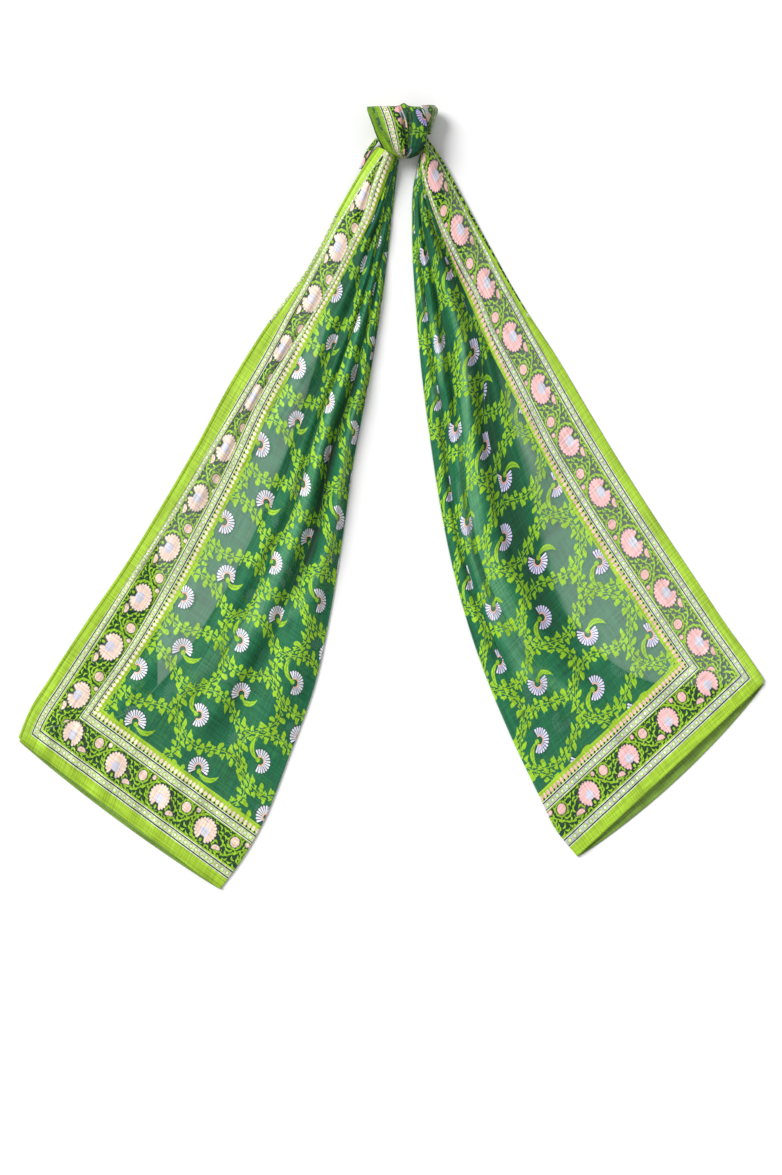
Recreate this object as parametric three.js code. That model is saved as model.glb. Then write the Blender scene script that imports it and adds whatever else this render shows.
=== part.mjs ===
// A printed voile shawl: one cloth folded along its length and tied in an overhand knot at its middle, laid flat.
// Millimetres. +Z is up from the surface it lies on, +Y runs towards the knot, +X to the right.
// Each tail is one wall that runs from the front layer's free edge, round the fold, to the back layer's free edge.

import * as THREE from "three";

// ---- Driving sizes -------------------------------------------------------------------------------------------

const CLOTH = { wall: 1.0, hemWidth: 5, hemWall: 1.4, seamGap: 0.4 };
const LAYERS = { backMid: 0.5, frontMid: 2.7, floorMid: 0.5, stepStart: 45, stepEnd: 10, lowestFace: 0 };
const SECTION = { stepsPerPleat: 6, foldSteps: 4, backSteps: 8, rows: 16 };
const PLEAT = { flattest: 0.6, lean: 0.12, narrowest: 5, fullAt: 13, least: 0.8 };

// One row for each station of a tail, from its hem (at 0) to the knot (at 1): the outline's free edge and fold edge,
// and how much of the row, from the free edge, the back layer leaves uncovered.
const LEFT_TAIL = {
  side: 1,
  edgeLength: 961,
  foldLength: 1048,
  stations: [
    { at: 0.0, edgeX: -517, edgeY: -336, foldX: -237, foldY: -543, bare: 0.0 },
    { at: 0.05, edgeX: -499, edgeY: -292, foldX: -206, foldY: -501, bare: 0.12 },
    { at: 0.1, edgeX: -473, edgeY: -251, foldX: -180, foldY: -456, bare: 0.28 },
    { at: 0.2, edgeX: -420, edgeY: -170, foldX: -141, foldY: -358, bare: 0.4 },
    { at: 0.3, edgeX: -366, edgeY: -91, foldX: -106, foldY: -260, bare: 0.44 },
    { at: 0.4, edgeX: -316, edgeY: -9, foldX: -84, foldY: -157, bare: 0.48 },
    { at: 0.5, edgeX: -268, edgeY: 74, foldX: -67, foldY: -54, bare: 0.51 },
    { at: 0.6, edgeX: -222, edgeY: 159, foldX: -52, foldY: 50, bare: 0.53 },
    { at: 0.7, edgeX: -171, edgeY: 240, foldX: -32, foldY: 153, bare: 0.5 },
    { at: 0.8, edgeX: -115, edgeY: 318, foldX: -15, foldY: 256, bare: 0.4 },
    { at: 0.9, edgeX: -70, edgeY: 403, foldX: -2, foldY: 360, bare: 0.3 },
    { at: 0.96, edgeX: -41, edgeY: 452, foldX: 5, foldY: 423, bare: 0.26 },
    { at: 1.0, edgeX: -20, edgeY: 482.8, foldX: 10.5, foldY: 463.8, bare: 0.22 },
  ],
  // How far from the free edge each pleat of the front ends at a station: the outer stripe, the scroll and the rest of
  // the border, then three in the field. A last pleat runs on to the fold.
  valleys: [
    { at: 0, stripe: 24.5, scroll: 62, border: 87, first: 140, second: 190, third: 255 },
    { at: 0.1, stripe: 25.5, scroll: 62.5, border: 84, first: 138, second: 188, third: 252 },
    { at: 0.2, stripe: 24.3, scroll: 65, border: 85.3, first: 137, second: 186, third: 246 },
    { at: 0.3, stripe: 19.3, scroll: 57, border: 83, first: 136, second: 178, third: 232 },
    { at: 0.4, stripe: 20.3, scroll: 51.5, border: 77.3, first: 133, second: 168, third: 213 },
    { at: 0.5, stripe: 22.7, scroll: 47, border: 72, first: 128, second: 158, third: 196 },
    { at: 0.6, stripe: 29.3, scroll: 41.5, border: 64.8, first: 112, second: 138, third: 166 },
    { at: 0.7, stripe: 24, scroll: 42, border: 59.8, first: 98, second: 117, third: 142 },
    { at: 0.8, stripe: 10.7, scroll: 35.7, border: 47.3, first: 75, second: 88, third: 102 },
    { at: 0.9, stripe: 10, scroll: 33, border: 47, first: 58, second: 66, third: 76 },
    { at: 0.95, stripe: 11, scroll: 21, border: 40, first: 47, second: 51, third: 56 },
    { at: 1, stripe: 12, scroll: 14, border: 29, first: 31.5, second: 33, third: 34.5 },
  ],
  // The same places on the cloth laid flat, and how much of each pleat's narrowing goes into its height.
  cuts: [0, 24.5, 62, 87, 140, 190, 255, 350],
  arches: [0.1, 0.12, 0.1, 0.25, 0.3, 0.25, 0.3],
  hem: { backPeek: 8, frontLift: 2 },
};

const RIGHT_TAIL = {
  side: -1,
  edgeLength: 886,
  foldLength: 1011,
  stations: [
    { at: 0.0, edgeX: 517, edgeY: -256, foldX: 257, foldY: -498, bare: 0.0 },
    { at: 0.05, edgeX: 493, edgeY: -219, foldX: 226, foldY: -459, bare: 0.16 },
    { at: 0.1, edgeX: 467, edgeY: -183, foldX: 204, foldY: -414, bare: 0.33 },
    { at: 0.2, edgeX: 418, edgeY: -110, foldX: 161, foldY: -323, bare: 0.5 },
    { at: 0.3, edgeX: 369, edgeY: -36, foldX: 123, foldY: -229, bare: 0.54 },
    { at: 0.4, edgeX: 321, edgeY: 39, foldX: 93, foldY: -133, bare: 0.49 },
    { at: 0.5, edgeX: 275, edgeY: 115, foldX: 71, foldY: -34, bare: 0.465 },
    { at: 0.6, edgeX: 230, edgeY: 191, foldX: 55, foldY: 66, bare: 0.43 },
    { at: 0.7, edgeX: 182, edgeY: 265, foldX: 42, foldY: 166, bare: 0.37 },
    { at: 0.8, edgeX: 138, edgeY: 342, foldX: 33, foldY: 267, bare: 0.32 },
    { at: 0.9, edgeX: 95, edgeY: 419, foldX: 28, foldY: 368, bare: 0.28 },
    { at: 0.96, edgeX: 69, edgeY: 466, foldX: 30, foldY: 428, bare: 0.24 },
    { at: 1.0, edgeX: 49.8, edgeY: 493.5, foldX: 37.8, foldY: 466.5, bare: 0.2 },
  ],
  valleys: [
    { at: 0, stripe: 24.5, scroll: 62, border: 87, first: 185, second: 258, third: 305 },
    { at: 0.1, stripe: 23.5, scroll: 62.7, border: 87, first: 184, second: 256, third: 303 },
    { at: 0.2, stripe: 23.6, scroll: 62.7, border: 87.5, first: 181, second: 247, third: 290 },
    { at: 0.3, stripe: 23.8, scroll: 62.7, border: 87.5, first: 192, second: 250, third: 283 },
    { at: 0.4, stripe: 23.8, scroll: 62.5, border: 87, first: 183, second: 240, third: 262 },
    { at: 0.5, stripe: 23.8, scroll: 61.3, border: 83.5, first: 156, second: 208, third: 232 },
    { at: 0.6, stripe: 20.5, scroll: 55.5, border: 77, first: 123, second: 163, third: 190 },
    { at: 0.7, stripe: 13.8, scroll: 48.8, border: 67, first: 77, second: 127, third: 150 },
    { at: 0.8, stripe: 8.5, scroll: 41.3, border: 57, first: 62, second: 93, third: 112 },
    { at: 0.9, stripe: 4, scroll: 38.5, border: 45, first: 50, second: 66, third: 79 },
    { at: 0.96, stripe: 3, scroll: 31, border: 35, first: 38, second: 44, third: 49 },
    { at: 1, stripe: 2.2, scroll: 19, border: 22, first: 24, second: 26.5, third: 28.6 },
  ],
  cuts: [0, 24.5, 62, 87, 185, 258, 305, 350],
  arches: [0.1, 0.1, 0.1, 0.22, 0.35, 0.3, 0.3],
  hem: { backPeek: 17, frontLift: 6 },
};

const NECK = { crown: 17, crownFrom: 0.72, lift: 5, liftFrom: 0.93 };
const HEM = { peekReach: 150, liftReach: 130 };

// The wrap's rims seen from above, from its top edge (at 0) to where its folds gather (at 1).
const WRAP = {
  topY: 538,
  length: 73,
  height: 43,
  squareness: 0.72,
  wall: 1.5,
  rounding: 0.2,
  rims: [
    { at: 0.0, leftX: -33.9, rightX: 39.4 },
    { at: 0.3, leftX: -26.5, rightX: 47.6 },
    { at: 0.57, leftX: -19.5, rightX: 48.4 },
    { at: 0.77, leftX: -12, rightX: 44 },
    { at: 0.93, leftX: -2, rightX: 34.6 },
    { at: 1.0, leftX: 11.3, rightX: 24.2 },
  ],
  // The tip of a fold that stands up over its top edge.
  crest: { across: 0.69, height: 4.4, width: 0.07 },
  // Creases between its three rounded folds: where each lies between the rims at the top, middle and bottom.
  creases: [
    { top: 0.62, middle: 0.54, bottom: 0.6, depth: 4, width: 0.045 },
    { top: 0.81, middle: 0.68, bottom: 0.5, depth: 3.5, width: 0.04 },
  ],
  steps: { along: 20, around: 24 },
};

const CORE = { clearance: 0.4, layers: 4, groove: 1.6 };

// Loops of cloth beside the wrap: from each row's inner point a C-shaped wall bulges out and back.
const EAR = {
  wall: 1.2,
  steps: 8,
  rows: [
    { innerX: 40.8, innerY: 536.5, outerX: 60, outerY: 538, top: 30, bottom: 6 },
    { innerX: 45.3, innerY: 529, outerX: 64.3, outerY: 531, top: 34, bottom: 4 },
    { innerX: 48.3, innerY: 517, outerX: 60.5, outerY: 519, top: 34, bottom: 3 },
    { innerX: 49.5, innerY: 507, outerX: 57, outerY: 508, top: 31, bottom: 4 },
    { innerX: 49.7, innerY: 499, outerX: 54.6, outerY: 499.5, top: 26, bottom: 8 },
  ],
};

const SHOULDER = {
  wall: 1.0,
  steps: 6,
  rows: [
    { innerX: -17.4, innerY: 491, outerX: -21.5, outerY: 494, top: 19, bottom: 4 },
    { innerX: -23.2, innerY: 483, outerX: -29.7, outerY: 484.5, top: 18, bottom: 1 },
    { innerX: -30.2, innerY: 472.5, outerX: -36.3, outerY: 474, top: 14, bottom: 0 },
    { innerX: -36.4, innerY: 462, outerX: -41, outerY: 463, top: 10, bottom: 0 },
    { innerX: -40.4, innerY: 452.6, outerX: -45.5, outerY: 453.5, top: 6, bottom: 0 },
  ],
};

const GROUND = { name: "lime and green printed voile", color: 0x6f9a4a, roughness: 0.85, metalness: 0 };
const HEM_TONE = { name: "lime rolled hem", color: 0xa8d23e, roughness: 0.8, metalness: 0 };
const KNOT_TONE = { name: "printed voile in the knot", color: 0x4f8a4f, roughness: 0.85, metalness: 0 };

// ---- Small helpers -------------------------------------------------------------------------------------------

const lerp = (a, b, t) => a + (b - a) * t;
const clamp01 = (x) => Math.min(1, Math.max(0, x));
const smooth = (a, b, x) => {
  const t = clamp01((x - a) / (b - a));
  return t * t * (3 - 2 * t);
};

// A column of a table at a place between its rows, as a smooth curve through them.
function along(rows, column, place) {
  const last = rows.length - 1;
  let k = 0;
  while (k < last - 1 && rows[k + 1].at < place) k += 1;
  const span = (i) => rows[i + 1].at - rows[i].at;
  const rise = (i) => (rows[i + 1][column] - rows[i][column]) / span(i);
  const slope = (i) => {
    if (i === 0) return rise(0);
    if (i === last) return rise(last - 1);
    return (rise(i - 1) * span(i) + rise(i) * span(i - 1)) / (span(i) + span(i - 1));
  };
  const h = span(k);
  const t = (place - rows[k].at) / h;
  const a = rows[k][column];
  const b = rows[k + 1][column];
  return (
    a * (2 * t ** 3 - 3 * t ** 2 + 1) +
    b * (3 * t ** 2 - 2 * t ** 3) +
    h * slope(k) * (t ** 3 - 2 * t ** 2 + t) +
    h * slope(k + 1) * (t ** 3 - t ** 2)
  );
}

// ---- Walls from grids of points ------------------------------------------------------------------------------

// The unit normal of a grid of points at one of its points, from the neighbours on both sides.
function gridNormal(grid, j, i, loops, side) {
  const rows = grid.length;
  const columns = grid[0].length;
  const left = loops ? (i + columns - 1) % columns : Math.max(0, i - 1);
  const right = loops ? (i + 1) % columns : Math.min(columns - 1, i + 1);
  const across = grid[j][right].clone().sub(grid[j][left]);
  const up = grid[Math.min(rows - 1, j + 1)][i].clone().sub(grid[Math.max(0, j - 1)][i]);
  return across.cross(up).normalize().multiplyScalar(side);
}

// Two copies of a grid, half a wall's thickness each way from it.
function wallFaces(grid, wall, loops, side) {
  const face = (sign) =>
    grid.map((row, j) =>
      row.map((point, i) => {
        const moved = point.clone().addScaledVector(gridNormal(grid, j, i, loops, side), (sign * wall) / 2);
        moved.z = Math.max(LAYERS.lowestFace, moved.z);
        return moved;
      }),
    );
  return { outer: face(1), inner: face(-1) };
}

// A closed body from an outer and an inner grid: both faces, the two end rims and, unless it loops, the side rims.
function closedWall(outer, inner, loops, side) {
  const rows = outer.length;
  const columns = outer[0].length;
  const positions = [];
  const index = [];
  for (const grid of [outer, inner]) for (const row of grid) for (const p of row) positions.push(p.x, p.y, p.z);
  const half = rows * columns;
  const quad = (a, b, c, d) => {
    if (side > 0) index.push(a, b, c, a, c, d);
    else index.push(a, c, b, a, d, c);
  };
  const wrapped = (i) => (i + columns) % columns;
  const outerAt = (j, i) => j * columns + wrapped(i);
  const innerAt = (j, i) => half + outerAt(j, i);
  const spans = loops ? columns : columns - 1;
  for (let j = 0; j < rows - 1; j += 1) {
    for (let i = 0; i < spans; i += 1) {
      quad(outerAt(j, i), outerAt(j, i + 1), outerAt(j + 1, i + 1), outerAt(j + 1, i));
      quad(innerAt(j, i), innerAt(j + 1, i), innerAt(j + 1, i + 1), innerAt(j, i + 1));
    }
  }
  for (let i = 0; i < spans; i += 1) {
    quad(innerAt(0, i), innerAt(0, i + 1), outerAt(0, i + 1), outerAt(0, i));
    quad(outerAt(rows - 1, i), outerAt(rows - 1, i + 1), innerAt(rows - 1, i + 1), innerAt(rows - 1, i));
  }
  if (!loops) {
    for (let j = 0; j < rows - 1; j += 1) {
      quad(innerAt(j, 0), outerAt(j, 0), outerAt(j + 1, 0), innerAt(j + 1, 0));
      quad(outerAt(j, columns - 1), innerAt(j, columns - 1), innerAt(j + 1, columns - 1), outerAt(j + 1, columns - 1));
    }
  }
  return geometryOf(positions, index);
}

function geometryOf(positions, index) {
  const geometry = new THREE.BufferGeometry();
  geometry.setAttribute("position", new THREE.Float32BufferAttribute(positions, 3));
  geometry.setIndex(index);
  geometry.computeVertexNormals();
  return geometry;
}

// ---- A tail --------------------------------------------------------------------------------------------------

// How wide each pleat of the front lies at a row, how steep it stands and how long its section is.
function pleatsAt(tail, at, frontWidth) {
  const names = Object.keys(tail.valleys[0]).filter((name) => name !== "at");
  const ends = [...names.map((name) => along(tail.valleys, name, at)), frontWidth];
  const wanted = ends.map((end, k) => Math.max(PLEAT.least, end - (k > 0 ? ends[k - 1] : 0)));
  const total = wanted.reduce((sum, width) => sum + width, 0);
  return wanted.map((share, k) => {
    const width = (share * frontWidth) / total;
    const cloth = tail.cuts[k + 1] - tail.cuts[k];
    const flat = Math.max(Math.min(1, width / cloth) ** tail.arches[k], PLEAT.flattest);
    const level = 1 - (1 - flat) * smooth(PLEAT.narrowest, PLEAT.fullAt, width);
    return { width, arc: width / level, steepest: Math.sqrt(8 * (1 - Math.sqrt(level))) };
  });
}

// A pleat's profile at a part of its arc: the cloth's slope is its steepest angle times the sine of the part of a full
// turn, so the plan and height are that angle's cosine and sine summed up, written here by their first few terms.
function pleatPoint(pleat, part) {
  const a = pleat.steepest;
  const turn = 2 * Math.PI * part;
  const first = a / 2 - a ** 3 / 16 + a ** 5 / 384;
  const second = a ** 2 / 8 - a ** 4 / 96;
  const third = a ** 3 / 48 - a ** 5 / 768;
  const height =
    (pleat.arc * (first * (1 - Math.cos(turn)) + (third * (1 - Math.cos(3 * turn))) / 3)) / Math.PI;
  const plan = pleat.width * part + (pleat.arc * second * Math.sin(2 * turn)) / (2 * Math.PI);
  return { plan: plan + PLEAT.lean * height, height };
}

// The middle surface of one row of a tail, from the front's free edge round the fold to the back's free edge.
// edges says which stretch of the width is wanted: the panel, or a hem at either free edge.
function tailRow(tail, at, stretch) {
  const column = (name) => along(tail.stations, name, at);
  const edge = new THREE.Vector3(column("edgeX"), column("edgeY"), 0);
  const fold = new THREE.Vector3(column("foldX"), column("foldY"), 0);
  const across = fold.clone().sub(edge);
  const rowWidth = across.length();
  across.normalize();
  const toHem = new THREE.Vector3(across.y, -across.x, 0).multiplyScalar(tail.side);
  const fromHem = at * lerp(tail.edgeLength, tail.foldLength, 0.5);
  const lift = NECK.lift * smooth(NECK.liftFrom, 1, at);
  const crown = NECK.crown * smooth(NECK.crownFrom, 1, at);
  const radius = (LAYERS.frontMid - LAYERS.backMid) / 2;
  const frontWidth = rowWidth - radius;
  const bareWidth = Math.max(0, column("bare")) * rowWidth;
  const place = (plan, z, beyondHem = 0) =>
    edge.clone().addScaledVector(across, plan).addScaledVector(toHem, beyondHem).setZ(z);

  const frontPoint = (plan, height) => {
    const part = clamp01(plan / frontWidth);
    const overBack = smooth(bareWidth - LAYERS.stepStart, bareWidth - LAYERS.stepEnd, plan);
    const base = lerp(LAYERS.floorMid, LAYERS.frontMid, overBack);
    const arch = crown * Math.sin(Math.PI * part) ** 0.8;
    const hemLift = tail.hem.frontLift * Math.sin(Math.PI * part) * clamp01(1 - fromHem / HEM.liftReach) ** 2;
    return place(plan, base + height + arch + lift + hemLift);
  };

  const front = [];
  let start = 0;
  for (const pleat of pleatsAt(tail, at, frontWidth)) {
    for (let k = 0; k < SECTION.stepsPerPleat; k += 1) {
      const point = pleatPoint(pleat, k / SECTION.stepsPerPleat);
      front.push({ plan: start + point.plan, height: point.height });
    }
    start += pleat.width;
  }
  front.push({ plan: frontWidth, height: 0 });

  const { hemWidth, seamGap } = CLOTH;
  if (stretch === "frontHem") return [0, hemWidth].map((plan) => frontPoint(plan, 0));
  if (stretch === "backHem") return [hemWidth, 0].map((plan) => place(bareWidth + plan, LAYERS.backMid + lift));

  const inset = stretch === "panel" ? hemWidth + seamGap : 0;
  const points = front.map(({ plan, height }) => frontPoint(plan + inset * (1 - plan / frontWidth), height));
  const backMid = LAYERS.backMid + lift;
  for (let k = 1; k < SECTION.foldSteps; k += 1) {
    const turn = (Math.PI * k) / SECTION.foldSteps;
    points.push(place(frontWidth + radius * Math.sin(turn), backMid + radius * (1 + Math.cos(turn))));
  }
  const backEdge = bareWidth + inset;
  for (let k = 0; k <= SECTION.backSteps; k += 1) {
    const plan = lerp(frontWidth, backEdge, k / SECTION.backSteps);
    const peek = tail.hem.backPeek * Math.sin(Math.PI * clamp01(plan / rowWidth)) ** 0.7;
    points.push(place(plan, backMid, peek * clamp01(1 - fromHem / HEM.peekReach) ** 2));
  }
  return points;
}

// The tail's panel or one of its hems, as a wall over the rows it covers.
function tailPiece(tail, stretch) {
  const hemEnd = (CLOTH.hemWidth + CLOTH.seamGap) / tail.edgeLength;
  const rows = [];
  if (stretch === "endHem") {
    rows.push(0, CLOTH.hemWidth / tail.edgeLength);
  } else {
    for (let j = 0; j <= SECTION.rows; j += 1) rows.push(lerp(hemEnd, 1, j / SECTION.rows));
  }
  const wall = stretch === "panel" ? CLOTH.wall : CLOTH.hemWall;
  const grid = rows.map((at) => tailRow(tail, at, stretch));
  const raise = (wall - CLOTH.wall) / 2;
  for (const row of grid) for (const point of row) point.z += raise;
  const { outer, inner } = wallFaces(grid, wall, false, tail.side);
  return closedWall(outer, inner, false, tail.side);
}

// ---- The knot ------------------------------------------------------------------------------------------------

// The wrap's surface: across runs from its left rim to its right rim, turn once round it from its top edge.
function wrapPoint(across, turn) {
  const down = (1 - Math.cos(turn)) / 2;
  const rounded = Math.sign(Math.sin(turn)) * Math.abs(Math.sin(turn)) ** WRAP.squareness;
  const ends = 1 - WRAP.rounding * Math.abs(2 * across - 1) ** 3;
  const middle = WRAP.height / 2;
  const x = lerp(along(WRAP.rims, "leftX", down), along(WRAP.rims, "rightX", down), across);
  let z = middle * (1 + ends * rounded);
  for (const crease of WRAP.creases) {
    const upper = lerp(crease.top, crease.middle, clamp01(2 * down));
    const centre = down < 0.5 ? upper : lerp(crease.middle, crease.bottom, 2 * down - 1);
    const notch = Math.exp(-(((across - centre) / crease.width) ** 2));
    z -= crease.depth * notch * Math.max(0, Math.sin(turn));
  }
  const { crest } = WRAP;
  const tip = crest.height * Math.exp(-(((across - crest.across) / crest.width) ** 2)) * (1 - down) ** 6;
  return new THREE.Vector3(x, WRAP.topY - WRAP.length * down + tip, z);
}

function wrapGrid() {
  const grid = [];
  for (let j = 0; j <= WRAP.steps.along; j += 1) {
    const row = [];
    for (let i = 0; i < WRAP.steps.around; i += 1) {
      row.push(wrapPoint(j / WRAP.steps.along, (2 * Math.PI * i) / WRAP.steps.around));
    }
    grid.push(row);
  }
  return grid;
}

// A grid that loops, moved inwards from the wrap's outer face.
function inset(grid, depth) {
  return grid.map((row, j) =>
    row.map((point, i) => point.clone().addScaledVector(gridNormal(grid, j, i, true, 1), -depth)),
  );
}

function wrapGeometry() {
  const outer = wrapGrid();
  return closedWall(outer, inset(outer, WRAP.wall), true, 1);
}

// The hidden bundle inside the wrap: one solid whose ends are stepped in rings, like the edges of rolled layers.
function coreGeometry() {
  const sides = inset(wrapGrid(), WRAP.wall + CORE.clearance);
  const centreOf = (row) => row.reduce((sum, p) => sum.add(p), new THREE.Vector3()).divideScalar(row.length);
  const rings = [];
  const cap = (row, direction) => {
    const centre = centreOf(row);
    const steps = [];
    for (let k = 1; k < CORE.layers; k += 1) {
      const depth = k % 2 === 1 ? CORE.groove : 0;
      steps.push(
        row.map((p) => {
          const point = p.clone().lerp(centre, k / CORE.layers);
          point.x += direction * depth;
          return point;
        }),
      );
    }
    return { steps, centre };
  };
  const first = cap(sides[0], 1);
  const last = cap(sides[sides.length - 1], -1);
  rings.push(...first.steps.reverse(), ...sides, ...last.steps);
  const columns = WRAP.steps.around;
  const positions = [];
  for (const row of rings) for (const p of row) positions.push(p.x, p.y, p.z);
  positions.push(...first.centre.toArray(), ...last.centre.toArray());
  const index = [];
  const at = (j, i) => j * columns + (i % columns);
  const end = rings.length - 1;
  for (let i = 0; i < columns; i += 1) {
    for (let j = 0; j < end; j += 1) {
      index.push(at(j, i), at(j, i + 1), at(j + 1, i + 1), at(j, i), at(j + 1, i + 1), at(j + 1, i));
    }
    index.push(rings.length * columns, at(0, i + 1), at(0, i));
    index.push(rings.length * columns + 1, at(end, i), at(end, i + 1));
  }
  return geometryOf(positions, index);
}

// A loop of cloth beside the wrap: each row's wall runs over from the inner point, out to the outer point and back.
function loopGeometry(loop, side) {
  const grid = loop.rows.map((row) => {
    const inner = new THREE.Vector3(row.innerX, row.innerY, 0);
    const outer = new THREE.Vector3(row.outerX, row.outerY, 0);
    const middle = (row.top + row.bottom) / 2;
    const half = (row.top - row.bottom) / 2;
    const points = [];
    for (let k = 0; k <= loop.steps; k += 1) {
      const turn = Math.PI * (0.5 - k / loop.steps);
      points.push(inner.clone().lerp(outer, Math.cos(turn)).setZ(middle + half * Math.sin(turn) + loop.wall / 2));
    }
    return points;
  });
  const faces = wallFaces(grid, loop.wall, false, side);
  return closedWall(faces.outer, faces.inner, false, side);
}

// ---- The shawl -----------------------------------------------------------------------------------------------

function piece(name, tone, geometry) {
  const mesh = new THREE.Mesh(geometry, new THREE.MeshStandardMaterial(tone));
  mesh.name = name;
  return mesh;
}

const shawl = new THREE.Group();
shawl.name = "shawl";
for (const [name, tail] of Object.entries({ left: LEFT_TAIL, right: RIGHT_TAIL })) {
  shawl.add(
    piece(`${name}_tail`, GROUND, tailPiece(tail, "panel")),
    piece(`${name}_end_hem`, HEM_TONE, tailPiece(tail, "endHem")),
    piece(`${name}_front_side_hem`, HEM_TONE, tailPiece(tail, "frontHem")),
    piece(`${name}_back_side_hem`, HEM_TONE, tailPiece(tail, "backHem")),
  );
}
shawl.add(
  piece("knot_wrap", KNOT_TONE, wrapGeometry()),
  piece("knot_core", KNOT_TONE, coreGeometry()),
  piece("knot_ear", KNOT_TONE, loopGeometry(EAR, -1)),
  piece("knot_shoulder", KNOT_TONE, loopGeometry(SHOULDER, 1)),
);

export default shawl;
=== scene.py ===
"""A printed voile shawl, folded along its length, tied in one overhand knot and laid flat.

Lengths are millimetres until a mesh is made. +X is right, +Y runs towards the knot and +Z is up from the
floor. Each tail is one sheet of cloth from the front layer's free edge, round the fold, to the back layer's
edge, and it carries the cloth's own coordinates: how far across the cloth a point lies from the free edge,
and how far it lies from the end hem. The whole print is worked out from those two lengths.
"""

import math

import bpy
import numpy as np
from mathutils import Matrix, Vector


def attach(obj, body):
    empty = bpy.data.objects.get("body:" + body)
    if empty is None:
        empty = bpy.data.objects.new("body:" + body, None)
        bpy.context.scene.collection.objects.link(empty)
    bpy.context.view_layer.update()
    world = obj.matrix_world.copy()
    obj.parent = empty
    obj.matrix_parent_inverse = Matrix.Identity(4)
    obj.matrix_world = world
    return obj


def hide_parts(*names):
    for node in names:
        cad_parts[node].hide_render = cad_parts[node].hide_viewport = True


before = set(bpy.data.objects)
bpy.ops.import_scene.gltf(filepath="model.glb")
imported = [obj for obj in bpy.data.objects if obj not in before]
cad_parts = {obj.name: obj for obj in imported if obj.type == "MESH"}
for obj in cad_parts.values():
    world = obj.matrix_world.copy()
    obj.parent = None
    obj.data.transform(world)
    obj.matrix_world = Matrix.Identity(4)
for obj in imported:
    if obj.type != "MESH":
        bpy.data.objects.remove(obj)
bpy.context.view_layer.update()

MM = 0.001

# ---- Driving sizes -------------------------------------------------------------------------------

CLOTH_WIDTH = 700.0
LAYER_WIDTH = CLOTH_WIDTH / 2
LAYERS = {"back": 0.5, "front": 2.7, "floor": 0.5, "step_start": 45.0, "step_end": 10.0}
BACK_EDGE = {"before": 3.0, "after": 1.0}
PLEAT = {"flattest": 0.6, "lean": 0.12, "narrowest": 5.0, "full_at": 13.0, "least": 0.5}
VALLEY = {"width": 0.7, "share": 0.2}
TUCK = {"shows": 0.05, "at_sides": 1.1, "power": 4, "most_plies": 2.2}
NECK = {"crown": 17.0, "crown_from": 0.72, "roundness": 0.8, "lift": 5.0, "lift_from": 0.93}
# Shares of a tail's length: how far a main fold fades beyond its ends and within them, and where the back
# layer begins to be folded under itself, and is wholly so.
FOLD_ENDS = {"beyond": 0.04, "within": 0.02}
DOUBLED_BACK = {"from": 0.08, "whole": 0.3}
EDGE_FADE = {"free": 14.0, "fold": 10.0}
CREASE = {"waves": 14, "wave": (14, 60), "slant": 0.35, "reach": (180, 420), "depth": 0.011}
CREASES_LIE = {"above": -0.9, "share": 0.8}
HEM = {"peek_reach": 150.0, "lift_reach": 130.0, "cloth_from": 3.2, "slack_from": 105.0, "end_shows": 3.0}
ROLL = {"above_rim": 0.25, "ring_pitch": 1.3, "sides": 8, "lowest": 0.02, "plies": 1.7}
STITCH = {"depth": 0.22, "pitch": 2.6, "power": 6}
FINENESS = {"rows": 280, "per_pleat": 18, "fold": 8, "back": 56, "corner_rows": 60, "corner": 24}


def table(columns, *rows):
    """Rows of numbers under named columns, as a dictionary of arrays."""
    return dict(zip(columns.split(), np.array(rows, float).T))


# Stations from the end hem (at 0) to the knot (at 1): the free edge, the fold edge, and the share of the
# row, from the free edge, that the back layer leaves uncovered.
STATIONS = "at edge_x edge_y fold_x fold_y bare"
# Where the pleats' valleys lie at a station, from the free edge: after the lime margin, the outer stripe,
# the scroll, the inner stripe and the drops, then three in the field. The cuts are the same places on flat
# cloth.
VALLEYS = "at margin stripe scroll inner drops first second third"
# The main folds that cross the pleats, as lines of places from the hem and from the free edge. Each has a
# height (below zero for a trough), a width, and plies: painted shade, so that a trough prints darker as if
# more cloth lay along it. Fewer than none is a painted highlight, the ground along a ridge printed paler.
FOLDS = "fold at plan height width plies"

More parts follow.
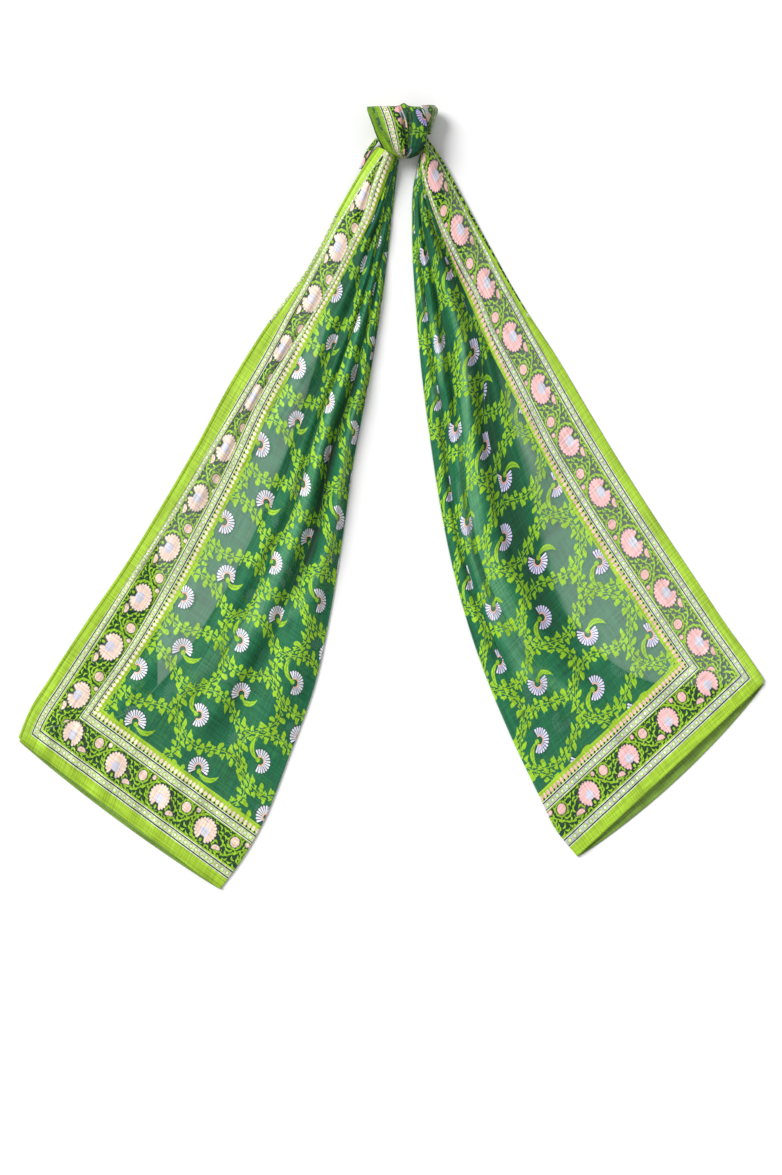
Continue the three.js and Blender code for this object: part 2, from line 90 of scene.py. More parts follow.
LEFT_TAIL = {
    "side": 1,
    "edge_length": 961.0,
    "fold_length": 1048.0,
    "stations": table(
        STATIONS,
        (0.00, -517, -336, -237, -543, 0.00),
        (0.05, -499, -292, -206, -501, 0.12),
        (0.10, -473, -251, -180, -456, 0.28),
        (0.20, -420, -170, -141, -358, 0.40),
        (0.30, -366, -91, -106, -260, 0.44),
        (0.40, -316, -9, -84, -157, 0.48),
        (0.50, -268, 74, -67, -54, 0.51),
        (0.60, -222, 159, -52, 50, 0.53),
        (0.70, -171, 240, -32, 153, 0.50),
        (0.80, -115, 318, -15, 256, 0.40),
        (0.90, -70, 403, -2, 360, 0.30),
        (0.96, -41, 452, 5, 423, 0.26),
        (1.00, -20, 482.8, 10.5, 463.8, 0.22),
    ),
    "valleys": table(
        VALLEYS,
        (0.00, 11.5, 24.5, 62, 76, 87, 140, 190, 255),
        (0.10, 12.5, 25.5, 62.5, 73.5, 84, 138, 188, 252),
        (0.20, 13.5, 24.3, 65, 76.8, 85.3, 137, 186, 246),
        (0.30, 11.5, 19.3, 57, 71.5, 83, 136, 178, 232),
        (0.40, 13.7, 20.3, 51.5, 67.3, 77.3, 133, 168, 213),
        (0.50, 14.7, 22.7, 47, 62, 72, 128, 158, 196),
        (0.60, 17.8, 29.3, 41.5, 55.7, 64.8, 112, 138, 166),
        (0.65, 17.0, 28.2, 41.5, 52.7, 64, 106, 128, 155),
        (0.70, 13.7, 24, 42, 49, 59.8, 98, 117, 142),
        (0.75, 8.0, 17.3, 40, 43, 52.3, 87, 103, 122),
        (0.80, 3.0, 10.7, 35.7, 40.7, 47.3, 75, 88, 102),
        (0.85, 3.5, 8.5, 34, 40, 46.5, 66, 77, 88),
        (0.90, 7.3, 10, 33, 40, 47, 58, 66, 76),
        (0.95, 9.5, 11, 21, 30, 40, 47, 51, 56),
        (1.00, 11.0, 12, 13, 20, 29, 31.5, 33, 34.5),
    ),
    "cuts": (0, 11.5, 24.5, 62, 76, 87, 140, 190, 255, 350),
    "arches": (0.1, 0.1, 0.12, 0.1, 0.1, 0.25, 0.3, 0.25, 0.3),
    "folds": table(
        FOLDS,
        (1, 0.38, 216, -2, 6, 2),
        (1, 0.425, 213, -4, 7, 4),
        (1, 0.46, 210, -4.5, 7, 4.8),
        (1, 0.5, 198, -4.5, 7, 4.8),
        (1, 0.55, 182, -4.5, 6.5, 4.8),
        (1, 0.6, 168.5, -4, 6, 4.8),
        (1, 0.65, 156, -4, 6, 4.4),
        (1, 0.71, 143, -3, 5, 2),
        (2, 0.2, 165, 1.5, 14, -0.45),
        (2, 0.25, 176, 2, 16, -0.7),
        (2, 0.3, 184, 2.5, 17, -0.7),
        (2, 0.35, 190, 2.5, 15, -0.6),
        (2, 0.4, 183, 2.5, 14, -0.55),
        (2, 0.45, 177, 3, 15, -0.6),
        (2, 0.5, 167, 3.5, 17, -0.65),
        (2, 0.55, 156, 4, 13, -0.6),
        (2, 0.6, 148, 4.5, 11, -0.75),
        (2, 0.65, 134, 4.5, 9, -0.75),
        (2, 0.7, 125, 4, 8, -0.6),
        (2, 0.75, 108, 3, 7, -0.6),
        (2, 0.8, 95, 2.5, 7, -0.5),
        (2, 0.85, 74, 1.5, 6, -0.4),
        (3, 0.33, 216, 1.5, 10, -0.6),
        (3, 0.36, 226, 2, 14, -0.65),
        (3, 0.4, 240, 2, 14, -0.4),
        (3, 0.45, 232, 2, 9, -0.5),
        (3, 0.5, 228, 3, 8, -0.6),
        (3, 0.55, 206, 3, 9, -0.6),
        (3, 0.6, 190, 3, 8, -0.6),
        (3, 0.65, 169, 3, 6, -0.65),
        (3, 0.7, 156, 2.5, 5, -0.6),
        (4, 0.47, 118, -1, 7, 0.8),
        (4, 0.5, 121, -1.5, 8, 1.4),
        (4, 0.55, 126, -2, 9, 1.4),
        (4, 0.6, 120, -2, 7, 1.6),
        (4, 0.65, 109, -2, 7, 1.8),
        (4, 0.7, 106, -2.5, 7, 1.8),
        (4, 0.75, 95, -2, 5, 1.2),
        (5, 0.49, 69, -1, 3, 0.9),
        (5, 0.583, 86, -1.5, 2.5, 1.1),
        (5, 0.683, 86, -1.5, 2.5, 0.9),
        (6, 0.76, 64, -2, 5, 1.5),
        (6, 0.8, 58, -3, 6, 2.4),
        (6, 0.85, 56, -3, 7, 2.2),
        (6, 0.91, 60, -2, 6, 1.8),
        (7, 0.1, 216, -1.2, 12, 0.4),
        (7, 0.2, 236, -2, 10, 0.9),
        (7, 0.3, 227, -2, 9, 0.9),
        (7, 0.34, 222, -1.5, 8, 0.6),
    ),
    "hem_shows": table("at cloth", (0, 3), (0.7, 9), (0.704, 16), (0.88, 16), (0.884, 9), (1, 3)),
    "back_peek": 8.0,
    "front_lift": 2.0,
    "slack": 0.032,
    "scroll_start": 101.0,
    "flower": (133.0, 118.0),
}

RIGHT_TAIL = {
    "side": -1,
    "edge_length": 886.0,
    "fold_length": 1011.0,
    "stations": table(
        STATIONS,
        (0.00, 517, -256, 257, -498, 0.00),
        (0.05, 493, -219, 226, -459, 0.16),
        (0.10, 467, -183, 204, -414, 0.33),
        (0.20, 418, -110, 161, -323, 0.50),
        (0.30, 369, -36, 123, -229, 0.56),
        (0.40, 321, 39, 93, -133, 0.515),
        (0.50, 275, 115, 71, -34, 0.465),
        (0.60, 230, 191, 55, 66, 0.43),
        (0.70, 182, 265, 42, 166, 0.37),
        (0.80, 138, 342, 33, 267, 0.32),
        (0.90, 95, 419, 28, 368, 0.28),
        (0.96, 69, 466, 30, 428, 0.24),
        (1.00, 49.8, 493.5, 37.8, 466.5, 0.20),
    ),
    "valleys": table(
        VALLEYS,
        (0.00, 11.5, 24.5, 62, 76, 87, 185, 258, 305),
        (0.10, 11.0, 23.5, 62.7, 75.8, 87, 184, 256, 303),
        (0.20, 11.2, 23.6, 62.7, 76, 87.5, 181, 247, 290),
        (0.30, 11.5, 23.8, 62.7, 76, 87.5, 192, 250, 283),
        (0.40, 11.7, 23.8, 62.5, 76, 87, 183, 240, 262),
        (0.50, 11.7, 23.8, 61.3, 75.5, 83.5, 156, 208, 232),
        (0.60, 11.0, 20.5, 55.5, 68, 77, 123, 163, 190),
        (0.65, 8.0, 18, 52, 63, 73, 96, 145, 168),
        (0.70, 4.5, 13.8, 48.8, 57, 67, 77, 127, 150),
        (0.75, 3.5, 12.2, 43, 50.5, 61, 68, 109, 131),
        (0.80, 3.0, 8.5, 41.3, 51, 57, 62, 93, 112),
        (0.85, 2.5, 6.5, 40.3, 48, 51, 56, 80, 95),
        (0.90, 2.0, 4, 38.5, 43.5, 45, 50, 66, 79),
        (0.96, 1.5, 2.5, 31, 34, 35, 38, 44, 49),
        (1.00, 1.0, 1.8, 19, 21, 22, 24, 26.5, 28.6),
    ),
    "cuts": (0, 11.5, 24.5, 62, 76, 87, 185, 258, 305, 350),
    "arches": (0.1, 0.1, 0.1, 0.1, 0.1, 0.22, 0.35, 0.3, 0.3),
    "folds": table(
        FOLDS,
        (1, 0.2, 205, -2, 20, 0.8),
        (1, 0.25, 204, -3, 20, 1.6),
        (1, 0.3, 197, -4, 20, 2.6),
        (1, 0.35, 186, -4, 21, 3),
        (1, 0.4, 180, -4, 24, 2.8),
        (1, 0.45, 164, -4, 28, 2.8),
        (1, 0.5, 146, -4, 25, 2.8),
        (1, 0.55, 138, -4, 20, 3),
        (1, 0.6, 116, -4, 20, 3),
        (1, 0.65, 98, -3.5, 15, 2.6),
        (1, 0.7, 78, -3, 12, 2.2),
        (1, 0.75, 72, -2.5, 9, 2.2),
        (1, 0.8, 60, -2, 9, 2.4),
        (1, 0.9, 62, -1.5, 10, 1.6),
        (2, 0.18, 232, 1.5, 12, -0.5),
        (2, 0.22, 250, 2, 20, -0.5),
        (2, 0.25, 268, 3, 22, -0.65),
        (2, 0.3, 252, 4, 26, -0.7),
        (2, 0.35, 246, 5, 28, -0.75),
        (2, 0.4, 236, 5, 26, -0.75),
        (2, 0.45, 226, 5, 24, -0.75),
        (2, 0.5, 204, 6, 23, -0.85),
        (2, 0.55, 184, 6, 20, -0.85),
        (2, 0.6, 157, 6, 14, -0.9),
        (2, 0.65, 127, 6, 10, -1),
        (2, 0.7, 103, 5, 8, -0.9),
        (2, 0.75, 91, 3.5, 7, -0.6),
        (2, 0.8, 81, 2.5, 7, -0.5),
        (3, 0.62, 176, 3, 8, -0.5),
        (3, 0.66, 170, 3.5, 11, -0.7),
        (3, 0.7, 139, 4, 10, -0.9),
        (3, 0.75, 126, 3, 9, -0.7),
        (3, 0.8, 117, 3, 7, -0.8),
        (3, 0.84, 106, 2, 6, -0.6),
        (4, 0.56, 204, -1.5, 5, 0.8),
        (4, 0.6, 182, -2.5, 6, 1.6),
        (4, 0.65, 149, -2.5, 6, 1.4),
        (4, 0.7, 120, -2.5, 5, 1.8),
        (4, 0.75, 108, -2, 5, 1.4),
        (4, 0.8, 97, -1.5, 5, 1.2),
        (5, 0.33, 304, -1.5, 7, 1),
        (5, 0.36, 301, -2, 8, 1.8),
        (5, 0.4, 298, -2, 8, 1.6),
        (6, 0.47, 112, 0, 7, -0.2),
        (6, 0.5, 105, 0, 9, -0.5),
        (6, 0.55, 98, 0, 10, -0.6),
        (6, 0.6, 88, 0, 9, -0.6),
        (6, 0.65, 80, 0, 6, -0.5),
        (6, 0.68, 74, 0, 5, -0.3),
    ),
    "hem_shows": table("at cloth", (0, 3), (0.68, 9), (0.684, 25.5), (1, 27)),
    "back_peek": 17.0,
    "front_lift": 6.0,
    "slack": 0.067,
    "scroll_start": 104.5,
    "flower": (94.0, 18.0),
}

# ---- Small helpers -------------------------------------------------------------------------------


def lerp(a, b, share):
    """a where share is 0, b where it is 1, and evenly between them."""
    return a + (b - a) * share


def smooth(a, b, x):
    """Rises from 0 at a to 1 at b, level at both ends: t squared times three less two t."""
    t = np.clip((x - a) / (b - a), 0, 1)
    return t * t * (3 - 2 * t)


def along(rows, column, places):
    """A column of a table at places between its rows, as cubic pieces. The slope at a row is the mean of
    the rises beside it, each weighted by the length of the other's span."""
    at, value = rows["at"], rows[column]
    span = np.diff(at)
    rise = np.diff(value) / span
    inner = (rise[:-1] * span[1:] + rise[1:] * span[:-1]) / (span[:-1] + span[1:])
    slope = np.concatenate([rise[:1], inner, rise[-1:]])
    k = np.clip(np.searchsorted(at, places, side="right") - 1, 0, len(span) - 1)
    h = span[k]
    t = (places - at[k]) / h
    return (
        value[k] * (2 * t**3 - 3 * t**2 + 1)
        + value[k + 1] * (3 * t**2 - 2 * t**3)
        + h * slope[k] * (t**3 - 2 * t**2 + t)
        + h * slope[k + 1] * (t**3 - t**2)
    )


def level_unit(way):
    """Vectors laid level and made one long."""
    level = way * [1, 1, 0]
    return level / np.linalg.norm(level, axis=1)[:, None]


def bell(offset, width):
    """1 on a line and near 0 a few widths off it: e to the power of minus the share of a width squared."""
    return np.exp(-((offset / width) ** 2))


# ---- Meshes from grids of points -----------------------------------------------------------------


def added(name, data):
    """An object with some data, put in the scene."""
    made = bpy.data.objects.new(name, data)
    bpy.context.scene.collection.objects.link(made)
    return made


def grid_piece(name, points, cloth, material, nodes, plies=None, loops=False, flipped=False):
    """A grid of points (rows, columns, 3) as one mesh of quads. cloth holds each point's place across and
    along the cloth, with one more column than points where the grid loops. plies is how many layers of
    cloth lie there, raised further as painted shade in valleys, folds and creases, and below one as painted
    highlight on ridges. The printed side is the one from which rows and columns turn left, or right where it
    is flipped."""
    rows, columns = points.shape[:2]
    index = np.arange(rows * columns).reshape(rows, columns)
    if loops:
        index = np.concatenate([index, index[:, :1]], axis=1)

    def corners(grid):
        four = [grid[:-1, :-1], grid[:-1, 1:], grid[1:, 1:], grid[1:, :-1]]
        return np.stack(four[::-1] if flipped else four, axis=2).reshape(-1, *grid.shape[2:])

    quads = corners(index)
    mesh = bpy.data.meshes.new(name)
    mesh.vertices.add(rows * columns)
    mesh.vertices.foreach_set("co", (points * MM).astype(np.float32).ravel())
    mesh.loops.add(quads.size)
    mesh.loops.foreach_set("vertex_index", quads.astype(np.int32).ravel())
    mesh.polygons.add(quads.size // 4)
    mesh.polygons.foreach_set("loop_start", np.arange(0, quads.size, 4, dtype=np.int32))
    mesh.update(calc_edges=True)
    mesh.shade_smooth()
    mesh.uv_layers.new(name="cloth").uv.foreach_set("vector", corners(cloth).astype(np.float32).ravel())
    layers = np.ones((rows, columns)) if plies is None else plies
    attribute = mesh.attributes.new("plies", "FLOAT", "POINT")
    attribute.data.foreach_set("value", layers.astype(np.float32).ravel())
    mesh.materials.append(material)
    piece = added(name, mesh)
    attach(piece, "root")
    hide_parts(*nodes)
    return piece


# ---- The pleats of a tail ------------------------------------------------------------------------


def pleat_profiles(tail, rows, room):
    """The front layer's section in every row: plan, height, cloth coordinate and plies, each (rows,
    columns).

    In a pleat the cloth's slope is its steepest angle times the sine of the part of a full turn, so plan
    and height are that angle's cosine and sine summed up, written by their first few terms. A pleat ends in
    a narrow valley, under which the cloth that doesn't show is tucked."""
    valleys = tail["valleys"]
    ends = [along(valleys, name, rows) for name in VALLEYS.split()[1:]] + [room]
    widths = np.maximum(np.diff(np.stack(ends, axis=1), axis=1, prepend=0), PLEAT["least"])
    widths = widths * (room / widths.sum(1))[:, None]
    cuts = np.array(tail["cuts"])
    cloth = np.diff(cuts)
    wanted = np.maximum(np.minimum(1, widths / cloth) ** np.array(tail["arches"]), PLEAT["flattest"])
    level = 1 - (1 - wanted) * smooth(PLEAT["narrowest"], PLEAT["full_at"], widths)
    arc = widths / level
    a = np.sqrt(8 * (1 - np.sqrt(level)))[:, :, None]
    part = np.linspace(0, 1, FINENESS["per_pleat"])[None, None, :]
    turn = 2 * math.pi * part
    first = a / 2 - a**3 / 16 + a**5 / 384
    second = a**2 / 8 - a**4 / 96
    third = a**3 / 48 - a**5 / 768
    valley = np.minimum(VALLEY["width"], VALLEY["share"] * widths)[:, :, None]
    height = arc[:, :, None] * (first * (1 - np.cos(turn)) + third * (1 - np.cos(3 * turn)) / 3) / math.pi
    plan = widths[:, :, None] * part + arc[:, :, None] * second * np.sin(2 * turn) / (2 * math.pi)
    starts = (np.cumsum(widths, axis=1) - widths)[:, :, None]
    narrowed = (widths[:, :, None] - valley) / widths[:, :, None]
    plan = starts + valley / 2 + (plan + PLEAT["lean"] * height) * narrowed
    shown = np.minimum(arc, cloth)[:, :, None]
    middle = ((cuts[:-1] + cuts[1:]) / 2)[None, :, None]
    across = middle + (part - 0.5) * shown
    tucked = (cloth / np.minimum(arc, cloth) - 1)[:, :, None]
    # Plies gather at a pleat's sides over its tucked cloth; printed darker, they also paint shade in the
    # valleys.
    plies = 1 + tucked * (TUCK["shows"] + TUCK["at_sides"] * np.abs(2 * part - 1) ** TUCK["power"])
    plies = np.minimum(plies, TUCK["most_plies"])
    flat = (len(rows), -1)
    return [np.broadcast_to(x, plan.shape).reshape(flat) for x in (plan, height, across, plies)]


def main_folds(tail, rows, plan):
    """The heights and plies that the main folds add at places on a tail's plan. The plies are painted shade
    along troughs and, below none, painted highlight along ridges. Across a fold both are bell curves, and
    along it they swell and fade by a smooth step at its ends."""
    folds = tail["folds"]
    height = np.zeros_like(plan)
    plies = np.zeros_like(plan)
    for number in np.unique(folds["fold"]):
        own = folds["fold"] == number
        at = folds["at"][own]
        beyond, within = FOLD_ENDS["beyond"], FOLD_ENDS["within"]
        swell = smooth(at[0] - beyond, at[0] + within, rows)
        swell = swell * (1 - smooth(at[-1] - within, at[-1] + beyond, rows))
        line = {key: np.interp(rows, at, folds[key][own])[:, None] for key in FOLDS.split()[2:]}
        share = swell[:, None] * bell(plan - line["plan"], line["width"])
        height += share * line["height"]
        plies += share * line["plies"]
    return height, plies


def wrinkles(across, length, seed):
    """Small soft creases, as heights: a sum of sine waves mostly along the cloth, with seeded phases."""
    random = np.random.default_rng(seed)
    height = np.zeros_like(across)
    for _ in range(CREASE["waves"]):
        wave = random.uniform(*CREASE["wave"])
        slant = random.uniform(-CREASE["slant"], CREASE["slant"])
        phase = random.uniform(0, 2 * math.pi)
        reach = random.uniform(*CREASE["reach"])
        swell = 0.5 + 0.5 * np.sin(2 * math.pi * length / reach + random.uniform(0, 2 * math.pi))
        crossed = np.sin(2 * math.pi * (across + slant * length) / wave + phase)
        height += CREASE["depth"] * wave * swell * crossed
    return height


def tail_rows(tail, rows):
    """What a tail's stations give in each row: the free edge's point, the way from there to the fold edge,
    the width between them, and the width that the back layer leaves bare."""
    station = {name: along(tail["stations"], name, rows)[:, None] for name in STATIONS.split()[1:]}
    edge = np.stack([station["edge_x"], station["edge_y"]], axis=2)
    fold = np.stack([station["fold_x"], station["fold_y"]], axis=2)
    width = np.linalg.norm(fold - edge, axis=2)
    return edge, (fold - edge) / width[:, :, None], width, np.maximum(0, station["bare"]) * width


def tail_grid(tail):
    """One tail's sheet as grids of points, cloth coordinates and plies. A row runs from the front's free
    edge over its pleats, round the fold and along the back. The front lies on the floor where the back
    leaves it uncovered, climbs a step on to the back layer, and arches up into the knot."""
    rows = np.linspace(HEM["cloth_from"] / tail["edge_length"], 1, FINENESS["rows"])
    edge, direction, width, bare_width = tail_rows(tail, rows)
    to_hem = tail["side"] * np.stack([direction[:, :, 1], -direction[:, :, 0]], axis=2)
    from_hem = rows[:, None] * (tail["edge_length"] + tail["fold_length"]) / 2
    lift = NECK["lift"] * smooth(NECK["lift_from"], 1, rows)[:, None]
    crown = NECK["crown"] * smooth(NECK["crown_from"], 1, rows)[:, None]
    radius = (LAYERS["front"] - LAYERS["back"]) / 2
    front_width = width - radius

    plan, height, across, plies = pleat_profiles(tail, rows, front_width[:, 0])
    inset = HEM["cloth_from"]
    plan = plan + inset * (1 - plan / front_width)
    share = np.clip(plan / front_width, 0, 1)
    on_back = smooth(bare_width - LAYERS["step_start"], bare_width - LAYERS["step_end"], plan)
    base = lerp(LAYERS["floor"], LAYERS["front"], on_back)
    arch = crown * np.sin(math.pi * share) ** NECK["roundness"]
    hem_lift = np.clip(1 - from_hem / HEM["lift_reach"], 0, 1) ** 2
    hem_lift = tail["front_lift"] * np.sin(math.pi * share) * hem_lift
    inner_part = smooth(0, EDGE_FADE["free"], plan) * smooth(0, EDGE_FADE["fold"], front_width - plan)
    creases = np.maximum(wrinkles(across, from_hem, 4 + tail["side"]) - CREASES_LIE["above"], 0)
    # The main folds' plies: painted shade in troughs, painted highlight on ridges.
    fold_height, fold_shading = main_folds(tail, rows, plan)
    front_z = base + height + arch + lift + hem_lift
    front_z = front_z + (CREASES_LIE["share"] * creases + fold_height) * inner_part
    front_z = np.maximum(front_z, base + lift)
    over_back = smooth(bare_width - BACK_EDGE["before"], bare_width + BACK_EDGE["after"], plan)
    fold_shading = np.where(fold_shading > 0, fold_shading * lerp(PLY["off_back"], 1, over_back), fold_shading)
    plies = np.clip(plies + PLY["on_back"] * over_back + fold_shading, PLY["least"], PLY["most"])

    turn = np.linspace(0, math.pi, FINENESS["fold"] + 2)[None, 1:-1]
    back_mid = LAYERS["back"] + lift
    fold_plan = front_width + radius * np.sin(turn)
    fold_z = back_mid + radius * (1 + np.cos(turn))
    fold_across = LAYER_WIDTH + np.linspace(-0.5, 0.5, FINENESS["fold"])[None, :] * math.pi * radius

    run = np.linspace(0, 1, FINENESS["back"])[None, :]
    back_plan = lerp(front_width, bare_width + inset, run)
    back_z = back_mid + 0 * run
    back_across = LAYER_WIDTH + (front_width - back_plan)
    peek = tail["back_peek"] * np.sin(math.pi * np.clip(back_plan / width, 0, 1)) ** 0.7
    beyond_back = peek * np.clip(1 - from_hem / HEM["peek_reach"], 0, 1) ** 2

    ones = np.ones_like(width)
    all_plan = np.concatenate([plan, fold_plan, back_plan], axis=1)
    all_z = np.concatenate([front_z, fold_z, back_z], axis=1)
    all_across = np.concatenate([across, fold_across * ones, back_across], axis=1)
    beyond = np.concatenate([0 * plan, 0 * fold_plan, beyond_back], axis=1)
    folded_under = 1 + smooth(DOUBLED_BACK["from"], DOUBLED_BACK["whole"], rows)[:, None]
    all_plies = np.concatenate([plies, ones + 0 * fold_plan, folded_under + 0 * back_plan], axis=1)

    points = edge + direction * all_plan[:, :, None] + to_hem * beyond[:, :, None]
    points = np.concatenate([points, all_z[:, :, None]], axis=2)
    from_edge = np.minimum(all_across, CLOTH_WIDTH - all_across)
    in_layer = np.clip(from_edge / LAYER_WIDTH, 0, 1)
    length = rows[:, None] * lerp(tail["edge_length"], tail["fold_length"], in_layer)
    length = length - tail["slack"] * np.maximum(0, length - HEM["slack_from"])
    if tail["side"] < 0:
        all_across, length = CLOTH_WIDTH - all_across, -length
    return points, np.stack([all_across, length], axis=2), all_plies


CORNER = {"left_of": -324.0, "first": 0.035, "last": 0.36, "under": 9.0, "height": 0.2, "plies": 2.6}


def turned_corner(material):
    """The left tail's corner, turned under the front: a flat second layer from inside the front's margins
    to a straight edge, or to the back layer's own edge if a row across the tail meets that first."""
    rows = np.linspace(CORNER["first"], CORNER["last"], FINENESS["corner_rows"])
    edge, direction, _, bare_width = tail_rows(LEFT_TAIL, rows)
    reach = np.minimum(bare_width - 1, (CORNER["left_of"] - edge[:, :, 0]) / direction[:, :, 0])
    reach = np.maximum(reach, CORNER["under"] + 1)
    plan = lerp(CORNER["under"], reach, np.linspace(0, 1, FINENESS["corner"])[None, :])
    points = edge + direction * plan[:, :, None]
    points = np.concatenate([points, CORNER["height"] + 0 * plan[:, :, None]], axis=2)
    cloth = np.stack([CLOTH_WIDTH - plan, rows[:, None] * LEFT_TAIL["edge_length"] + 0 * plan], axis=2)
    plies = CORNER["plies"] + 0 * plan
    return grid_piece(
        "left_tail_turned_corner", points, cloth, material, ["left_tail"], plies
    )


# ---- Nodes: numbers that arithmetic builds on ----------------------------------------------------


class Number:
    """A value that varies over a surface. Arithmetic on it adds Math nodes to its tree."""

    def __init__(self, tree, socket):
        self.tree = tree
        self.socket = socket

    def math(self, operation, *others, clamp=False):
        fed = dict(enumerate((self, *others)))
        made = node(self.tree, "Math", fed, operation=operation, use_clamp=clamp)
        return Number(self.tree, made.outputs[0])

    def __add__(self, other):
        return self.math("ADD", other)

    def __sub__(self, other):
        return self.math("SUBTRACT", other)

    def __rsub__(self, other):
        return self.math("MULTIPLY_ADD", -1.0, other)

    def __mul__(self, other):
        return self.math("MULTIPLY", other)

    def __truediv__(self, other):
        return self.math("DIVIDE", other) if isinstance(other, Number) else self * (1 / other)

    def __neg__(self):
        return self * -1.0

    def __abs__(self):
        return self.math("ABSOLUTE")

    __radd__ = __add__
    __rmul__ = __mul__

    def least(self, other):
        return self.math("MINIMUM", other)

    def most(self, other):
        return self.math("MAXIMUM", other)

    def cos(self):
        return self.math("COSINE")

    def to_nearest(self, pitch):
        """How far the number lies from the nearest multiple of the pitch."""
        return self.math("PINGPONG", pitch / 2)

    def wrapped(self, low, high):
        """The number moved by whole spans until it lies between low and high."""
        return self.math("WRAP", high, low)

    def inside(self, softness):
        """1 where the number, a distance from a motif's edge, is below zero, and 0 above, over a soft edge."""
        return self.math("MULTIPLY_ADD", -1 / softness, 0.5, clamp=True)

    def outside(self, softness):
        """1 where the number is above zero, and 0 below."""
        return self.inside(softness).math("MULTIPLY_ADD", -1.0, 1.0)


def feed(tree, value, socket):
    """Links a number, colour or socket to an input, or sets the input to a plain value."""
    if isinstance(value, Number):
        value = value.socket
    if isinstance(value, bpy.types.NodeSocket):
        tree.links.new(value, socket)
    elif isinstance(value, (tuple, list)) and socket.type == "RGBA":
        socket.default_value = (*value, 1.0)
    else:
        socket.default_value = value


def distance(x, y):
    """The length of (x, y): the root of the sum of their squares."""
    return (x * x).math("ADD", y * y).math("SQRT")


def from_disc(x, y, disc):
    """The distance of (x, y) from the rim of a disc, below zero inside it."""
    return distance(x - disc[0], y - disc[1]) - disc[2]


def angle(x, y):
    """The angle of (x, y) from +y towards +x."""
    return x.math("ARCTAN2", y)


def node(tree, kind, fed=(), **settings):
    """A new node of a kind, with its settings, and with its inputs fed by name or by number."""
    made = tree.nodes.new(f"ShaderNode{kind}")
    for name, value in settings.items():
        setattr(made, name, value)
    for name, value in dict(fed).items():
        feed(tree, value, made.inputs[name])
    return made


def blended(tree, share, first, second):
    """first where share is 0 and second where it is 1, for colours."""
    return node(tree, "Mix", {0: share, 6: first, 7: second}, data_type="RGBA").outputs[2]


def chosen(tree, share, first, second):
    """first where share is 0 and second where it is 1, for numbers."""
    return Number(tree, node(tree, "Mix", {0: share, 2: first, 3: second}).outputs[0])


def place_of(tree, x, y):
    """(x, y) as one vector."""
    return node(tree, "CombineXYZ", {0: x, 1: y}).outputs[0]


def parted(tree, whole, kind="XYZ"):
    """A vector's or a colour's three parts, as numbers."""
    return [Number(tree, part) for part in node(tree, f"Separate{kind}", {0: whole}).outputs]


def new_material(name, **constants):
    """A material, its tree and its surface, with some of the surface's inputs set by name."""
    material = bpy.data.materials.new(name)
    material.use_nodes = True
    tree = material.node_tree
    surface = tree.nodes["Principled BSDF"]
    for label, value in constants.items():
        feed(tree, value, surface.inputs[label.replace("_", " ")])
    return material, tree, surface


def new_group(name, inputs, outputs):
    """A shader node group with named sockets, and its input and output nodes."""
    tree = bpy.data.node_groups.new(name, "ShaderNodeTree")
    for way, sockets in (("INPUT", inputs), ("OUTPUT", outputs)):
        for label, kind in sockets:
            tree.interface.new_socket(label, in_out=way, socket_type=f"NodeSocket{kind}")
    return tree, tree.nodes.new("NodeGroupInput"), tree.nodes.new("NodeGroupOutput")


def ink(red, green, blue):
    """A colour given as screen values from 0 to 255, as the linear values that nodes use."""
    shares = np.array([red, green, blue]) / 255
    return tuple(np.where(shares <= 0.04045, shares / 12.92, ((shares + 0.055) / 1.055) ** 2.4))


# ---- The print -----------------------------------------------------------------------------------

INKS = {
    "lime": ink(172, 212, 56),
    "leaf": ink(166, 216, 44),
    "ground": (0.016, 0.2, 0.085),
    "scroll ground": ink(22, 70, 48),
    "line": ink(12, 56, 48),
    "white": ink(238, 240, 232),
    "peach": ink(240, 196, 176),
    "lavender": ink(214, 212, 232),
    "reverse": ink(70, 112, 78),
    # A pale green painted on the ground as highlight along ridges.
    "painted highlight": ink(132, 204, 156),
    "shaded lime": ink(96, 130, 40),
}
TAIL_INKS = {
    "left": {"Petal": ink(250, 226, 210), "Stripe": ink(216, 214, 190), "Field petal": ink(238, 238, 248)},
    "right": {"Petal": ink(250, 198, 200), "Stripe": ink(208, 202, 208), "Field petal": ink(232, 228, 254)},
    "knot": {"Petal": ink(252, 204, 204), "Stripe": ink(246, 230, 216), "Field petal": ink(214, 208, 250)},
}
DENSITY = {"ground": 0.63, "border": 0.86, "scroll ground": 0.62, "reverse": 0.5, "ink": 0.45, "most": 0.9}

# How plies tell: what the back layer adds under the front, the share of a fold's plies that count off it,
# the bounds, and how much more plies deepen and dim the inks. Pale inks dim less. The dimming is partly the
# denser stack of cloth and partly painted shade in valleys, creases and folds; palest caps the painted
# highlight where plies fall below one.
PLY = {
    "on_back": 0.2,
    "off_back": 0.3,
    "least": 0.3,
    "most": 6.0,
    "deepens": 0.16,
    "deepest": 0.75,
    "dims": 0.5,
    "pale_keeps": 0.36,
    "palest": 0.65,
}

